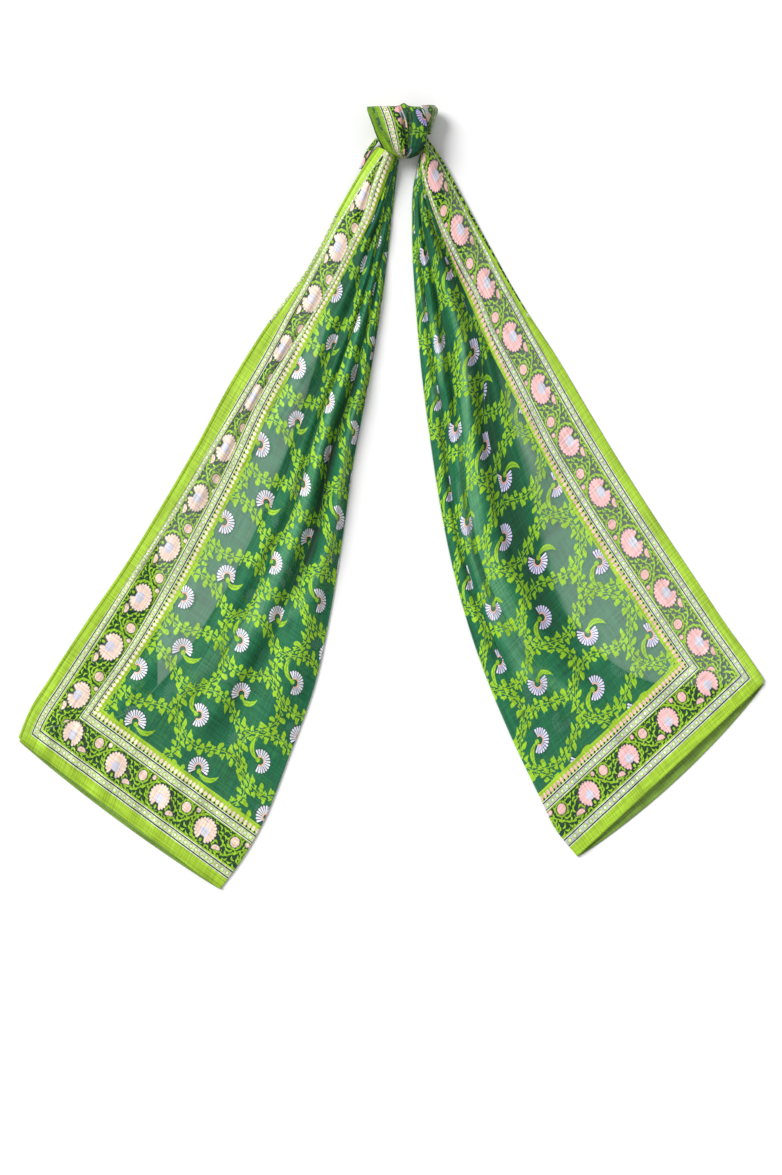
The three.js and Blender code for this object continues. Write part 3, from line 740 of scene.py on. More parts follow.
# The frames of the border, from its outer side: the depth where each band starts, and its ink.
BANDS = (
    (0.0, "lime"),
    (10.0, "white"),
    (10.8, "line"),
    (12.2, "stripe"),
    (19.9, "line"),
    (21.3, "white"),
    (22.0, "lime"),
    (24.2, "scroll ground"),
    (60.2, "lime"),
    (61.4, "white"),
    (62.2, "line"),
    (63.6, "stripe"),
    (71.0, "line"),
    (72.4, "white"),
    (73.2, "lime"),
    (85.2, "ground"),
)
BAND_REACH = 100.0
BORDER = {
    "side_start": 1.5,
    "end_start": 5.5,
    "end_stretch": 1.16,
    "inner": 85.2,
    "scroll_middle": 42.2,
    "scroll_half": 18.2,
    "scroll_from": -45.0,
    "pitch": 77.5,
    "end_first": 67.0,
    "end_pitch": 75.0,
    "stripe_middle": 16.05,
    "inner_stripe_middle": 67.3,
    "circle_pitch": 9.0,
    "circle": 3.2,
    "circle_heart": 1.8,
    "drop_pitch": 6.5,
    "drop_middle": 78.0,
    "drop": 2.3,
    "dot_middle": 75.0,
    "dot": 1.25,
}
# The scroll's motifs, in units of half its depth. A disc is the place of its middle and its radius.
SCROLL = {
    "leaf_size": 3.0,
    "swirl": 0.9,
    "petals": 19,
    "half_opening": 0.36,
    "flower": 0.84,
    "scallop": 0.1,
    "around_flower": 0.885,
    "heart": (0.02, -0.1, 0.33),
    "arc": 1.02,
    "bud": (-1.98, 0.5, 0.34),
    "small_bud": (-1.12, 0.82, 0.16),
    "side_flower": (1.05, -0.62, 0.27),
    "calyx": (0.0, -0.7, 0.13),
}
# The field: how far its flowers stand apart, and how far every other row of them is moved aside.
FIELD = {"across": 110.0, "along": 58.0, "shift": -39.0}
VINES = {
    "weft_at": 31.0,
    "weft_crest": 30.0,
    "weft_swing": 9.0,
    "warp_at": 52.0,
    "warp_crest": 5.0,
    "warp_swing": 17.0,
    "stem": 0.6,
    "leaf_pace": 7.6,
    "leaf_off": 4.9,
    "leaf_size": 3.1,
    "lobe": 2.4,
}
FLOWER = {
    "petals": 15,
    "half_angle": 2.15,
    "inner": 4.6,
    "outer": 15.6,
    "scallop": 2.6,
    "outline": 0.9,
    "ring": 6.6,
    "clear": 17.2,
    "tilt": -0.44,
    "more_tilt": -0.65,
    "foot": (1.5, -4.0, 3.4),
}
# The crescent leaf at a flower's foot: part of a ring, widest at its middle.
HOOK = {"ring": (16.0, 4.0, 17.3), "middle": 15.0, "reach": 15.0, "half_width": 3.4, "foot": -5.0}
WEAVE = {"slubs": ((0.5, 0.018), (0.02, 0.45)), "thread_pitch": 0.8, "bump": 0.25, "bump_height": 0.06}
VOILE = {"Roughness": 0.62, "Specular_IOR_Level": 0.25, "Sheen_Weight": 0.08, "Sheen_Roughness": 0.4}


def band_colours(tree, depth, stripe):
    """The straight bands of the border by depth, with the cloth's opacity in each as alpha. Bands of the
    stripe's ink are marked by pure black, which no other band has, and are filled in after."""
    ramp = node(tree, "ValToRGB", {"Fac": depth / BAND_REACH})
    ramp.color_ramp.interpolation = "CONSTANT"
    stops = ramp.color_ramp.elements
    stops.remove(stops[0])
    for k, (start, name) in enumerate(BANDS):
        stop = stops[0] if k == 0 else stops.new(start / BAND_REACH)
        stop.position = start / BAND_REACH
        stop.color = (*INKS.get(name, (0.0, 0.0, 0.0)), DENSITY.get(name, DENSITY["border"]))
    unfilled = parted(tree, ramp.outputs["Color"], "Color")[1].math("LESS_THAN", 0.0001)
    return blended(tree, unfilled, ramp.outputs["Color"], stripe), Number(tree, ramp.outputs["Alpha"])


def turned_about(tree, x, y, clockwise):
    """(x, y) as seen by something turned clockwise by an angle."""
    fed = {"Vector": place_of(tree, x, y), "Angle": clockwise}
    return parted(tree, node(tree, "VectorRotate", fed, rotation_type="Z_AXIS").outputs[0])[:2]


def curled_leaf(tree, x, y, size, swirl):
    """Curling leaves scattered on a ground: each cell of a Voronoi pattern holds one crescent, which is
    where the offset from a parabola is less than a width that narrows to both tips. Leaves turn with the
    angle round the motif's centre, so that they sweep about it."""
    place = place_of(tree, x * size, y * size)
    fed = {"Scale": 1.0, "Randomness": 0.75, "Vector": place}
    cells = node(tree, "TexVoronoi", fed, voronoi_dimensions="2D")
    middle = cells.outputs["Position"]
    local = node(tree, "VectorMath", {0: place, 1: middle}, operation="SUBTRACT").outputs[0]
    centre = parted(tree, middle)
    offset = parted(tree, local)
    chance = parted(tree, cells.outputs["Color"], "Color")[0]
    lx, ly = turned_about(tree, *offset[:2], angle(*centre[:2]) + chance * 2.2 + swirl)
    bow = lx * lx
    return abs(ly - bow * 0.9 + 0.14) - (0.21 - bow * 0.45)


def fan(x, y, petals, half_angle, inner, outer, scallop):
    """A fan of petals round (0, 0) that opens towards +y. The outer rim is a circle that dips between
    petals by the square of how far across a petal a point is. Returns the distance from the fan's edge, how
    far across a petal a point is (0 in its middle, 0.5 at its side), and the radius."""
    radius = distance(x, y)
    turn = angle(x, y)
    across = (turn * (petals / (2 * half_angle))).to_nearest(1.0)
    rim = outer - across * across * (4 * scallop)
    edge = (radius - rim).most(inner - radius).most((abs(turn) - half_angle) * outer * 0.6)
    return edge, across, radius


def scroll(tree, colour, run, depth, at_end, petal):
    """The flowering scroll between the stripes, in units of half its depth, laid over a colour: curling
    leaves, a lime arc, a big fan flower that opens inwards, two buds and a small flower."""
    half = BORDER["scroll_half"]
    x = run.wrapped(BORDER["scroll_from"], BORDER["scroll_from"] + BORDER["pitch"]) / half
    y = (depth - BORDER["scroll_middle"]) / half
    in_scroll = (abs(y) - 0.985).inside(0.04)
    leaf = curled_leaf(tree, x, y, SCROLL["leaf_size"], SCROLL["swirl"])
    drawn_out = x * chosen(tree, at_end, 0.8, 0.95)
    half_angle = math.pi - SCROLL["half_opening"]
    shape = SCROLL["petals"], half_angle, 0.0, SCROLL["flower"], SCROLL["scallop"]
    edge, across, radius = fan(drawn_out, y, *shape)
    heart = from_disc(drawn_out, y, SCROLL["heart"])
    arc = (abs(radius - SCROLL["arc"]) - 0.05).most(x * 0.5 + 0.05)
    stem = abs(y - (x * 1.62 + 0.9).cos() * 0.72) - 0.06
    bud = from_disc(x, y, SCROLL["bud"])
    small_bud = from_disc(x, y, SCROLL["small_bud"])
    side_flower = from_disc(x * 0.8, y, SCROLL["side_flower"])
    half_flower = side_flower.most(x * 0.3 - y - 1.05)
    buds = bud.least(small_bud).least(half_flower)
    blooms = edge.least(heart).least(buds)
    halo = (radius - SCROLL["around_flower"]).least(buds - 0.03)
    bud_ring = abs(bud - 0.13) - 0.045
    green = leaf.least(arc).least(stem).least(bud_ring)
    green = green.inside(0.08) * halo.outside(0.05)
    calyx = from_disc(x * 1.3, y, SCROLL["calyx"])
    green = green.most(calyx.inside(0.06)) * in_scroll
    colour = blended(tree, green, colour, INKS["leaf"])

    # The petals: lines between them, a heart with spokes and a rim, and rings in the buds.
    line = (0.4 - across).inside(0.12) * (0.36 - radius).inside(0.1)
    petals = blended(tree, line * 0.8, petal, INKS["peach"])
    spokes = (across * 2.0 - 0.55).inside(0.5) * 0.35
    petals = blended(tree, heart.inside(0.05), petals, blended(tree, spokes, INKS["lavender"], INKS["white"]))
    petals = blended(tree, (abs(heart - 0.02) - 0.015).inside(0.04) * 0.6, petals, INKS["peach"])
    rings = (abs(bud + 0.12) - 0.03).least(abs(half_flower + 0.13) - 0.03)
    petals = blended(tree, rings.inside(0.05), petals, INKS["peach"])
    return blended(tree, blooms.inside(0.06) * in_scroll, colour, petals)


def trellis(tree, across, length):
    """Vines that run both ways over the field, each with a big leaf on one side and a small one on the
    other, and sides that change about at every step. Returns the distance from the nearest stem or leaf."""
    level = (length - VINES["weft_at"]) / FIELD["along"]
    row = level.math("ROUND")
    sway = (row * math.pi).cos() * VINES["weft_swing"]
    weft_wave = ((across - VINES["weft_crest"]) * (2 * math.pi / FIELD["across"])).cos()
    weft_off = (level - row) * FIELD["along"] - sway * weft_wave
    warp_wave = ((length - VINES["warp_crest"]) * (math.pi / FIELD["along"])).cos()
    warp_off = across - VINES["warp_at"] - warp_wave * VINES["warp_swing"]
    warp_off = warp_off.wrapped(-FIELD["across"] / 2, FIELD["across"] / 2)
    on_warp = abs(warp_off).math("LESS_THAN", abs(weft_off))
    off = chosen(tree, on_warp, weft_off, warp_off)
    pace = chosen(tree, on_warp, across, length) / VINES["leaf_pace"]
    step = pace.math("ROUND")
    sided = off * (step * math.pi).cos()
    size = (step * 2.4).cos() * 0.8 + sided * 0.18 + VINES["leaf_size"]
    leaf_x = (pace - step) * VINES["leaf_pace"] + off * 0.25
    leaf_y = abs(sided - 1.3) - VINES["leaf_off"]
    lobes = abs((angle(leaf_x, leaf_y) * 1.5 + step * 0.7).cos())
    leaf = distance(leaf_x, leaf_y) - (size - 1.3 + lobes * VINES["lobe"])
    return leaf.least(abs(off) - VINES["stem"])


def field(tree, colour, across, length, first, inside_field, petal):
    """The field over a colour: the trellis, and fan flowers in its meshes. Every other row of flowers is
    moved aside, mirrored and turned further. A crescent leaf curls from each flower's foot."""
    greens = trellis(tree, across - first[0], length - first[1])
    place = (length - first[1]) / FIELD["along"]
    row = place.math("ROUND")
    turned = row.math("PINGPONG", 1.0)
    dy = (place - row) * FIELD["along"]
    dx = across - first[0] - turned * FIELD["shift"]
    dx = dx.wrapped(-FIELD["across"] / 2, FIELD["across"] / 2)
    mirror = turned.math("MULTIPLY_ADD", -2.0, 1.0)
    tilt = turned.math("MULTIPLY_ADD", FLOWER["more_tilt"], FLOWER["tilt"])
    fx, fy = turned_about(tree, dx * mirror, dy, tilt)
    shape = (FLOWER[key] for key in ("petals", "half_angle", "inner", "outer", "scallop"))
    edge, part, radius = fan(fx, fy, *shape)

    # The greens: the vines cleared from round the flower, the crescent leaf with its vein, and the foot.
    from_middle = (fx - HOOK["middle"]) / HOOK["reach"]
    off_ring = from_disc(fx, fy, HOOK["ring"])
    hook = abs(off_ring) - HOOK["half_width"] + from_middle * from_middle * HOOK["half_width"]
    hook = hook.most(fy - HOOK["foot"])
    vein = (abs(off_ring + 0.3) - 0.3).most(6.0 - fx).most(fx - 24.0)
    foot = from_disc(fx, fy, FLOWER["foot"])
    clear = (radius - FLOWER["clear"]).most(-8.0 - fy).outside(0.5)
    beside_hook = (hook - 1.0).outside(0.6)
    greens = (greens.inside(0.6) * clear * beside_hook).most(hook.least(foot).inside(0.6)) * inside_field
    greens = greens * (1.0 - vein.inside(0.4) * 0.7)
    colour = blended(tree, greens, colour, INKS["leaf"])

    # The petals: an outline round all of them, gaps that widen outwards, and a peach ring at the heart.
    colour = blended(tree, (edge - FLOWER["outline"]).inside(0.5) * inside_field, colour, INKS["line"])
    petal_angle = 2 * FLOWER["half_angle"] / FLOWER["petals"]
    gap = ((0.5 - part) * radius * petal_angle - 0.05 - radius * 0.035).inside(0.4)
    petal_ink = blended(tree, gap, petal, INKS["line"])
    petal_ink = blended(tree, (radius - FLOWER["ring"]).inside(0.5), petal_ink, INKS["peach"])
    return blended(tree, edge.inside(0.5) * inside_field, colour, petal_ink)


def block_print():
    """The whole print from a point's place across and along the cloth: frames of stripes, a flowering
    scroll between them, and a field of fan flowers on a trellis of leafy vines."""
    numbers = ("Across", "Along", "Scroll start", "Flower across", "Flower along")
    colours = ("Petal", "Stripe", "Field petal")
    inputs = [(name, "Float") for name in numbers] + [(name, "Color") for name in colours]
    tree, given, result = new_group("block print", inputs, [("Color", "Color"), ("Opacity", "Float")])
    across, length, scroll_start, *flower = (Number(tree, given.outputs[name]) for name in numbers)
    from_edge = across.to_nearest(CLOTH_WIDTH)
    from_hem = abs(length)
    side = from_edge - BORDER["side_start"]
    end = (from_hem - BORDER["end_start"]) / BORDER["end_stretch"]
    depth = side.least(end)
    at_end = end.math("LESS_THAN", side)
    end_run = (from_edge - BORDER["end_first"]) * (BORDER["pitch"] / BORDER["end_pitch"])
    run = chosen(tree, at_end, scroll_start - from_hem, end_run)
    colour, opacity = band_colours(tree, depth, given.outputs["Stripe"])

    # Circles on both stripes: a disc with a lime ring, in a row.
    middle = (BORDER["stripe_middle"] + BORDER["inner_stripe_middle"]) / 2
    stripe = abs(abs(depth - middle) - (BORDER["inner_stripe_middle"] - middle))
    disc = distance(stripe, run.to_nearest(BORDER["circle_pitch"]))
    colour = blended(tree, (disc - BORDER["circle"]).inside(0.4), colour, INKS["leaf"])
    colour = blended(tree, (disc - BORDER["circle_heart"]).inside(0.4), colour, INKS["white"])

    # Drops that hang from the inner stripe, with dots between them.
    drop_x = run.to_nearest(BORDER["drop_pitch"])
    drop = distance(drop_x, (depth - BORDER["drop_middle"]) * 0.75) - BORDER["drop"]
    colour = blended(tree, drop.inside(0.5), colour, given.outputs["Petal"])
    dot = distance(BORDER["drop_pitch"] / 2 - drop_x, (depth - BORDER["dot_middle"]) * 0.8) - BORDER["dot"]
    colour = blended(tree, dot.inside(0.5), colour, INKS["line"])

    colour = scroll(tree, colour, run, depth, at_end, given.outputs["Petal"])
    inside_field = (BORDER["inner"] - depth).inside(0.5)
    colour = field(tree, colour, across, length, flower, inside_field, given.outputs["Field petal"])

    inked = parted(tree, colour, "Color")[0] * DENSITY["ink"] + DENSITY["ground"]
    feed(tree, colour, result.inputs["Color"])
    feed(tree, opacity.most(inked).least(DENSITY["most"]), result.inputs["Opacity"])
    return tree


def voile_weave():
    """The cloth's fine weave: slubs are noise drawn out along both threads, and the height is two crossed
    sine waves at the thread's pitch."""
    inputs = [("Across", "Float"), ("Along", "Float")]
    tree, given, result = new_group("voile weave", inputs, [("Tone", "Float"), ("Height", "Float")])
    across, length = (Number(tree, given.outputs[name]) for name, _ in inputs)
    slubs = []
    for stretch_across, stretch_along in WEAVE["slubs"]:
        place = place_of(tree, across * stretch_across, length * stretch_along)
        noise = node(tree, "TexNoise", {"Vector": place}, noise_dimensions="2D")
        feed(tree, 1.0, noise.inputs["Scale"])
        feed(tree, 1.0, noise.inputs["Detail"])
        slubs.append(Number(tree, noise.outputs[0]))
    tone = slubs[0] + slubs[1]
    feed(tree, tone * 0.8 + 0.2, result.inputs["Tone"])
    pace = 2 * math.pi / WEAVE["thread_pitch"]
    feed(tree, (across * pace).cos() + (length * pace).cos() + tone * 2.0, result.inputs["Height"])
    return tree


def printed_voile(name, groups, inks, scroll_start, flower, least_plies=1.0):
    """The cloth's material: the print seen in thin see-through cotton, denser and darker where plies lie on
    each other, the darkening partly painted shade. Where plies fall below one, a painted highlight pales the
    ground. The side that isn't printed shows the print paler."""
    material, tree, surface = new_material(name, **VOILE)
    across, length, _ = parted(tree, node(tree, "UVMap", uv_map="cloth").outputs[0])
    place = {"Across": across, "Along": length}
    start = {"Scroll start": scroll_start, "Flower across": flower[0], "Flower along": flower[1]}
    printed = node(tree, "Group", node_tree=groups["print"])
    for label, value in {**place, **start, **inks}.items():
        feed(tree, value, printed.inputs[label])
    woven = node(tree, "Group", node_tree=groups["weave"])
    for label, value in place.items():
        feed(tree, value, woven.inputs[label])
    plies = Number(tree, node(tree, "Attribute", attribute_name="plies").outputs["Fac"])
    # A least number of plies darkens a whole piece: on the knot, painted shade over its wound layers.
    if least_plies > 1:
        plies = plies.most(least_plies)
    paler = Number(tree, node(tree, "NewGeometry").outputs["Backfacing"]) * DENSITY["reverse"]
    seen = blended(tree, paler, printed.outputs["Color"], INKS["reverse"])

    # More plies: the ink laid on itself. Fewer than one: a painted highlight, the ground mixed towards pale
    # green.
    twice = node(tree, "VectorMath", {0: seen, 1: seen}, operation="MULTIPLY").outputs[0]
    deepened = ((plies - 1.0) * PLY["deepens"]).math("MINIMUM", PLY["deepest"], clamp=True)
    seen = blended(tree, deepened, seen, twice)
    red = parted(tree, printed.outputs["Color"], "Color")[0]
    is_ground = red.math("MULTIPLY_ADD", -3.0, 1.0, clamp=True)
    highlight_share = (1.0 - plies).math("MINIMUM", PLY["palest"], clamp=True)
    seen = blended(tree, highlight_share * is_ground, seen, INKS["painted highlight"])
    plies = plies.most(1.0)
    # Dimming by plies: partly the denser stack of cloth, partly painted shade in valleys, creases and folds.
    dimming = plies.math("POWER", red * PLY["pale_keeps"] - PLY["dims"])
    scale = dimming * Number(tree, woven.outputs["Tone"])
    toned = node(tree, "VectorMath", {0: seen}, operation="SCALE")
    feed(tree, scale, toned.inputs["Scale"])
    feed(tree, toned.outputs[0], surface.inputs["Base Color"])
    clear = 1.0 - Number(tree, printed.outputs["Opacity"])
    feed(tree, 1.0 - clear.math("POWER", plies), surface.inputs["Alpha"])
    size = {"Strength": WEAVE["bump"], "Distance": WEAVE["bump_height"] * MM}
    bump = node(tree, "Bump", {**size, "Height": woven.outputs["Height"]})
    feed(tree, bump.outputs[0], surface.inputs["Normal"])
    return material


# ---- Hems ----------------------------------------------------------------------------------------


def rolled_hem(name, path, outward, cloth, material, solid, flipped, width, thickness):
    """A rolled hem: an ellipse carried along a path, flattest on the floor side. Its size swells between
    stitches by a power of a cosine at the stitch's pitch."""
    step = np.linalg.norm(np.diff(path, axis=0), axis=1)
    length = np.concatenate([[0], np.cumsum(step)])
    places = np.linspace(0, length[-1], max(8, int(length[-1] / ROLL["ring_pitch"])))

    def at_places(values):
        return np.stack([np.interp(places, length, value) for value in values.T], axis=1)

    out = at_places(outward)
    out /= np.linalg.norm(out, axis=1)[:, None]
    turn = np.linspace(0, 2 * math.pi, ROLL["sides"] + 1)[None, :, None]
    stitch = np.cos(math.pi * places / STITCH["pitch"])[:, None, None] ** STITCH["power"]
    up = np.array([0.0, 0.0, 1.0])
    ring = out[:, None, :] * np.cos(turn) * width / 2 + up * np.sin(turn) * thickness / 2
    points = at_places(path)[:, None, :] + ring[:, :-1] * (1 - STITCH["depth"] * stitch)
    points[:, :, 2] = np.maximum(points[:, :, 2], ROLL["lowest"])
    own = at_places(cloth)[:, None, :] + np.cos(turn) * np.array([-width / 4, 0])
    plies = ROLL["plies"] + 0 * points[:, :, 0]
    return grid_piece(name, points, own, material, [solid], plies, loops=True, flipped=flipped)


def tail_hems(side_name, tail, points, cloth, material):
    """The tail's three hems: along the front's free edge, along the back's edge, and across the end of
    both. Their prints lie in the lime margin."""
    mirrored = tail["side"] < 0
    shows = np.interp(np.linspace(0, 1, len(points)), tail["hem_shows"]["at"], tail["hem_shows"]["cloth"])
    front_cloth = np.stack([CLOTH_WIDTH - shows if mirrored else shows, cloth[:, 0, 1]], axis=1)
    end_cloth = cloth[0] * [1, 0] + [0, HEM["end_shows"]]
    # Each hem's rim, a line inside it, its cloth, which way it turns, how far out it lies, and its size.
    hems = {
        "front_side_hem": (points[:, 0], points[:, 3], front_cloth, mirrored, 1.2, 4.4, 1.1),
        "back_side_hem": (points[:, -1], points[:, -4], cloth[:, -1], not mirrored, 1.0, 3.4, 1.2),
        "end_hem": (points[0], points[3], end_cloth, not mirrored, 1.2, 4.4, 1.1),
    }
    pieces = []
    for part, (rim, inside, shown, flipped, out, width, thickness) in hems.items():
        outward = level_unit(rim - inside)
        path = rim + outward * out + [0, 0, ROLL["above_rim"]]
        solid = f"{side_name}_{part}"
        pieces.append(
            rolled_hem(f"{solid}_roll", path, outward, shown, material, solid, flipped, width, thickness)
        )
    return pieces


# ---- The knot ------------------------------------------------------------------------------------

WRAP = {
    "top_y": 536.4,
    "length": 71.6,
    "corner": {"drop": 3.0, "power": 9},
    "height": 43.0,
    "squareness": 0.72,
    "rounding": 0.2,
    "rims": table(
        "at left_x right_x",
        (0.0, -33.9, 39.4),
        (0.3, -26.5, 47.6),
        (0.57, -19.5, 48.4),
        (0.77, -12.0, 44.0),
        (0.93, -2.0, 34.6),
        (1.0, 11.3, 24.2),
    ),
    "crest": {"across": 0.69, "height": 4.4, "width": 0.07},
    "creases": table(
        "top middle bottom depth width",
        (0.62, 0.56, 0.62, 6.0, 0.035),
        (0.76, 0.67, 0.6, 6.5, 0.035),
        (0.1, 0.12, 0.3, 2.5, 0.05),
    ),
    # Which of the cloth shows between the rims, with a jump where a crease hides some.
    "shows": table(
        "at cloth",
        (0.0, -4.0),
        (0.22, 11.0),
        (0.36, 21.0),
        (0.62, 42.0),
        (0.635, 128.0),
        (0.69, 138.0),
        (0.705, 160.0),
        (1.0, 190.0),
    ),
    # Plies on the wrap: more at the rims and along the creases, as painted shade there. The least, for the
    # whole knot, paints it in shade as well as counting its wound layers.
    "plies": {"least": 1.6, "middle": 2.4, "rim": 3.6, "crease": 4.0, "crease_spread": 1.3},
    "scroll_start": 70.0,
    "flower": (80.0, 34.0),
    "ribs": {"count": 9, "depth": 0.5},
    "roll": {"rings": 7, "out": 1.1, "inwards": 0.22, "cloth_step": 0.6},
    "cloth_start": 820.0,
}


def crease_bells(across, down, spread=1.0):
    """Each crease of the wrap as its depth and a bell curve across it. Its line bends once, half way down."""
    for top, middle, bottom, depth, width in zip(*WRAP["creases"].values()):
        line = np.interp(down, (0, 0.5, 1), (top, middle, bottom))
        yield depth, bell(across - line, spread * width)


def wrap_points(across, turn):
    """The band that goes round the knot: across runs from its left rim to its right rim, turn goes once
    round from its top edge. Seen from the end it is a rounded square, a power of the sine. Creases sink
    into its upper side as bell curves, ribs run along it as a cosine, and one fold's tip stands over its
    top edge."""
    down = (1 - np.cos(turn)) / 2
    sine = np.sin(turn)
    upper = np.maximum(0, sine)
    rounded = np.sign(sine) * np.abs(sine) ** WRAP["squareness"]
    ends = 1 - WRAP["rounding"] * np.abs(2 * across - 1) ** 3
    x = lerp(along(WRAP["rims"], "left_x", down), along(WRAP["rims"], "right_x", down), across)
    z = WRAP["height"] / 2 * (1 + ends * rounded)
    for depth, notch in crease_bells(across, down):
        z = z - depth * notch * upper
    ribs = WRAP["ribs"]
    z = z - ribs["depth"] * upper * (1 + np.cos(2 * math.pi * across * ribs["count"] + 2 * down)) / 2
    crest = WRAP["crest"]
    tip = crest["height"] * bell(across - crest["across"], crest["width"]) * (1 - down) ** 6
    corner = WRAP["corner"]
    drop = corner["drop"] * np.abs(2 * across - 1) ** corner["power"] * (1 - down) ** 8
    return np.stack([x, WRAP["top_y"] - WRAP["length"] * down + tip - drop, z], axis=-1)


def knot_wrap(material):
    """The wrap with its rims rolled in, so that its cloth has no bare edge: past each rim the grid goes on
    inwards, towards the middle of the bundle, along a quarter of an ellipse."""
    turn = np.linspace(0, 2 * math.pi, 193)[None, :]
    across = np.linspace(0, 1, 140)[:, None]
    outer = wrap_points(across + 0 * turn, turn + 0 * across)
    roll = WRAP["roll"]
    rings = roll["rings"]
    bend = np.linspace(0, math.pi / 2, rings + 1)[1:, None, None]
    grids = []
    for end, inside in ((outer[0], outer[3]), (outer[-1], outer[-4])):
        away = end - inside
        away = away / np.linalg.norm(away, axis=1)[:, None]
        inwards = (end.mean(axis=0) - end) * roll["inwards"]
        grids.append(end[None] + away[None] * roll["out"] * np.sin(bend) + inwards[None] * (1 - np.cos(bend)))
    points = np.concatenate([grids[0][::-1], outer, grids[1]], axis=0)
    shown = np.interp(across[:, 0], WRAP["shows"]["at"], WRAP["shows"]["cloth"])
    more = roll["cloth_step"] * np.arange(1, rings + 1)
    shown = np.concatenate([shown[0] - more[::-1], shown, shown[-1] + more])
    step = np.linalg.norm(np.diff(outer, axis=1), axis=2).mean(axis=0)
    length = WRAP["cloth_start"] + np.concatenate([[0], np.cumsum(step)])
    cloth = np.stack(np.broadcast_arrays(shown[:, None], length[None, :]), axis=2)
    shares = np.pad(across[:, 0], rings, mode="edge")[:, None]
    down = (1 - np.cos(turn[:, :-1])) / 2
    amount = WRAP["plies"]
    # Painted shade: plies rise towards the rims and along the creases, so that these print darker.
    plies = amount["middle"] + amount["rim"] * np.abs(2 * shares - 1) ** 5 + 0 * down
    for _, crease in crease_bells(shares, down, amount["crease_spread"]):
        plies = plies + amount["crease"] * crease
    return grid_piece(
        "knot_wrap_cloth", points[:, :-1], cloth, material, ["knot_wrap"], plies, loops=True
    )


LOOP = {"above": 0.6, "lowest": 0.3, "length": 50.0, "plies": 2.6}
EAR = table(
    "inner_x inner_y outer_x outer_y top bottom",
    (40.8, 536.5, 60.0, 538.0, 30, 6),
    (45.3, 529.0, 64.3, 531.0, 34, 4),
    (48.3, 517.0, 60.5, 519.0, 34, 3),
    (49.5, 507.0, 57.0, 508.0, 31, 4),
    (49.7, 499.0, 54.6, 499.5, 26, 8),
)
SHOULDER = table(
    "inner_x inner_y outer_x outer_y top bottom",
    (-17.4, 491.0, -21.5, 494.0, 19, 4),
    (-23.2, 483.0, -29.7, 484.5, 18, 1),
    (-30.2, 472.5, -36.3, 474.0, 14, 0),
    (-36.4, 462.0, -41.0, 463.0, 10, 0),
    (-40.4, 452.6, -45.5, 453.5, 6, 0),
)


def loop_piece(name, rows, cloth_from, cloth_to, length_from, material, solid):
    """A loop of cloth beside the wrap: each row bulges over from the inner point to the outer one and back,
    along half an ellipse, and the rows are joined by cubic pieces."""
    rows = {"at": np.linspace(0, 1, len(rows["top"])), **rows}
    places = np.linspace(0, 1, 48)
    column = {key: along(rows, key, places)[:, None] for key in rows if key != "at"}
    turn = np.linspace(math.pi / 2, -math.pi / 2, 32)[None, :]
    share = np.cos(turn)
    x = lerp(column["inner_x"], column["outer_x"], share)
    y = lerp(column["inner_y"], column["outer_y"], share)
    half = (column["top"] - column["bottom"]) / 2
    z = column["bottom"] + half + half * np.sin(turn) + LOOP["above"]
    points = np.stack([x, y, np.maximum(z, LOOP["lowest"])], axis=2)
    spread = np.where(turn > 0, share, 2 - share) / 2
    shown = lerp(cloth_from, cloth_to, spread + 0 * z)
    length = length_from + places[:, None] * LOOP["length"] + 0 * shown
    cloth = np.stack([shown, length], axis=2)
    plies = LOOP["plies"] + 0 * z
    return grid_piece(name, points, cloth, material, [solid], plies)


# ---- The scene -----------------------------------------------------------------------------------

# Places and the floor's size are in metres. The lens and the sensor are in millimetres.
CAMERA = {"lens": 100.0, "sensor": 36.0, "above": 4.5140, "x": -0.0007, "y": -0.1259}
FLOOR = {"half": 6.0, "z": -0.0004}
LIGHT = {"room": 0.5, "lamp": 3.2, "softness": 0.5, "towards": (1.0, -0.75, -1.05)}


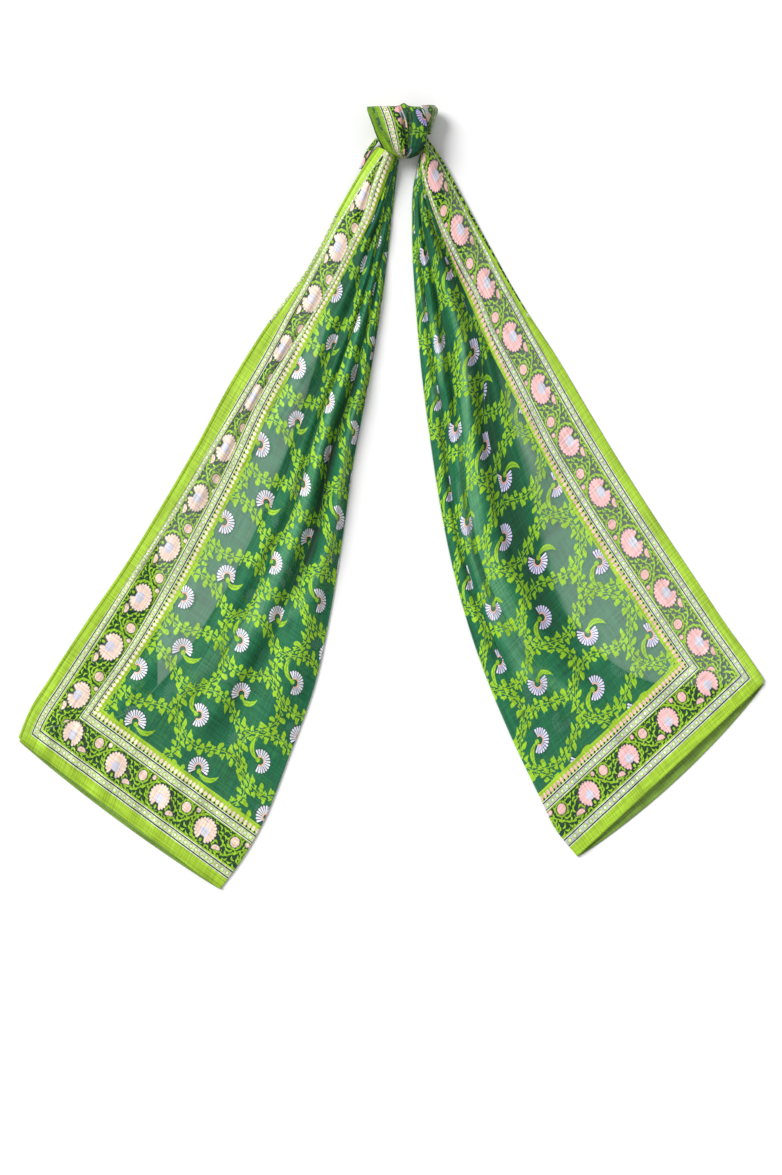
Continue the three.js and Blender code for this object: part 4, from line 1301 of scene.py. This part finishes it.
def studio():
    """A pale floor, soft light from all round and one big soft lamp from the upper left."""
    mesh = bpy.data.meshes.new("floor")
    half = FLOOR["half"]
    corners = [(-half, -half, 0), (half, -half, 0), (half, half, 0), (-half, half, 0)]
    mesh.from_pydata(corners, [], [(0, 1, 2, 3)])
    floor = added("floor", mesh)
    floor.location.z = FLOOR["z"]
    pale = new_material("pale floor", Base_Color=(0.9, 0.9, 0.9), Roughness=0.9, Specular_IOR_Level=0.1)[0]
    mesh.materials.append(pale)

    world = bpy.data.worlds.new("soft room")
    bpy.context.scene.world = world
    world.use_nodes = True
    sky = world.node_tree.nodes["Background"]
    sky.inputs["Color"].default_value = (1, 1, 1, 1)
    sky.inputs["Strength"].default_value = LIGHT["room"]

    lamp = bpy.data.lights.new("key", "SUN")
    lamp.energy = LIGHT["lamp"]
    lamp.angle = LIGHT["softness"]
    added("key", lamp).rotation_euler = Vector(LIGHT["towards"]).to_track_quat("-Z", "Y").to_euler()

    camera_data = bpy.data.cameras.new("camera")
    camera_data.lens = CAMERA["lens"]
    camera_data.sensor_width = CAMERA["sensor"]
    camera = added("camera", camera_data)
    camera.location = (CAMERA["x"], CAMERA["y"], CAMERA["above"])
    bpy.context.scene.camera = camera
    bpy.context.scene.view_settings.view_transform = "Standard"


def shawl():
    """Both tails with their hems, and the knot's wrap, ear, shoulder and core."""
    groups = {"print": block_print(), "weave": voile_weave()}
    for name, tail in (("left", LEFT_TAIL), ("right", RIGHT_TAIL)):
        start = tail["scroll_start"], tail["flower"]
        material = printed_voile(f"printed voile {name}", groups, TAIL_INKS[name], *start)
        points, cloth, plies = tail_grid(tail)
        flipped = tail["side"] < 0
        solid = f"{name}_tail"
        sheet = grid_piece(
            f"{solid}_cloth", points, cloth, material, [solid], plies, flipped=flipped
        )
        pieces = tail_hems(name, tail, points, cloth, material)
        if name == "left":
            pieces.append(turned_corner(material))
        flat = (0.70, tail["edge_length"] * MM)
    start = WRAP["scroll_start"], WRAP["flower"], WRAP["plies"]["least"]
    material = printed_voile("printed voile knot", groups, TAIL_INKS["knot"], *start)
    wrap = knot_wrap(material)
    ear = loop_piece("knot_ear_cloth", EAR, 44, -16, 600, material, "knot_ear")
    shoulder = loop_piece("knot_shoulder_cloth", SHOULDER, 32, 60, 640, material, "knot_shoulder")
    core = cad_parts["knot_core"]
    core.data.materials.clear()
    core.data.materials.append(rolled_bundle())


def rolled_bundle():
    """The rolled cloth that shows in the wrap's mouths: dark green with lime in soft patches."""
    material, tree, surface = new_material("rolled bundle", Roughness=0.7)
    place = node(tree, "TexCoord").outputs["Object"]
    noise = Number(tree, node(tree, "TexNoise", {"Scale": 160.0, "Vector": place}).outputs[0])
    colour = blended(tree, (0.52 - noise).inside(0.03), INKS["scroll ground"], INKS["shaded lime"])
    feed(tree, colour, surface.inputs["Base Color"])
    return material


studio()
shawl()
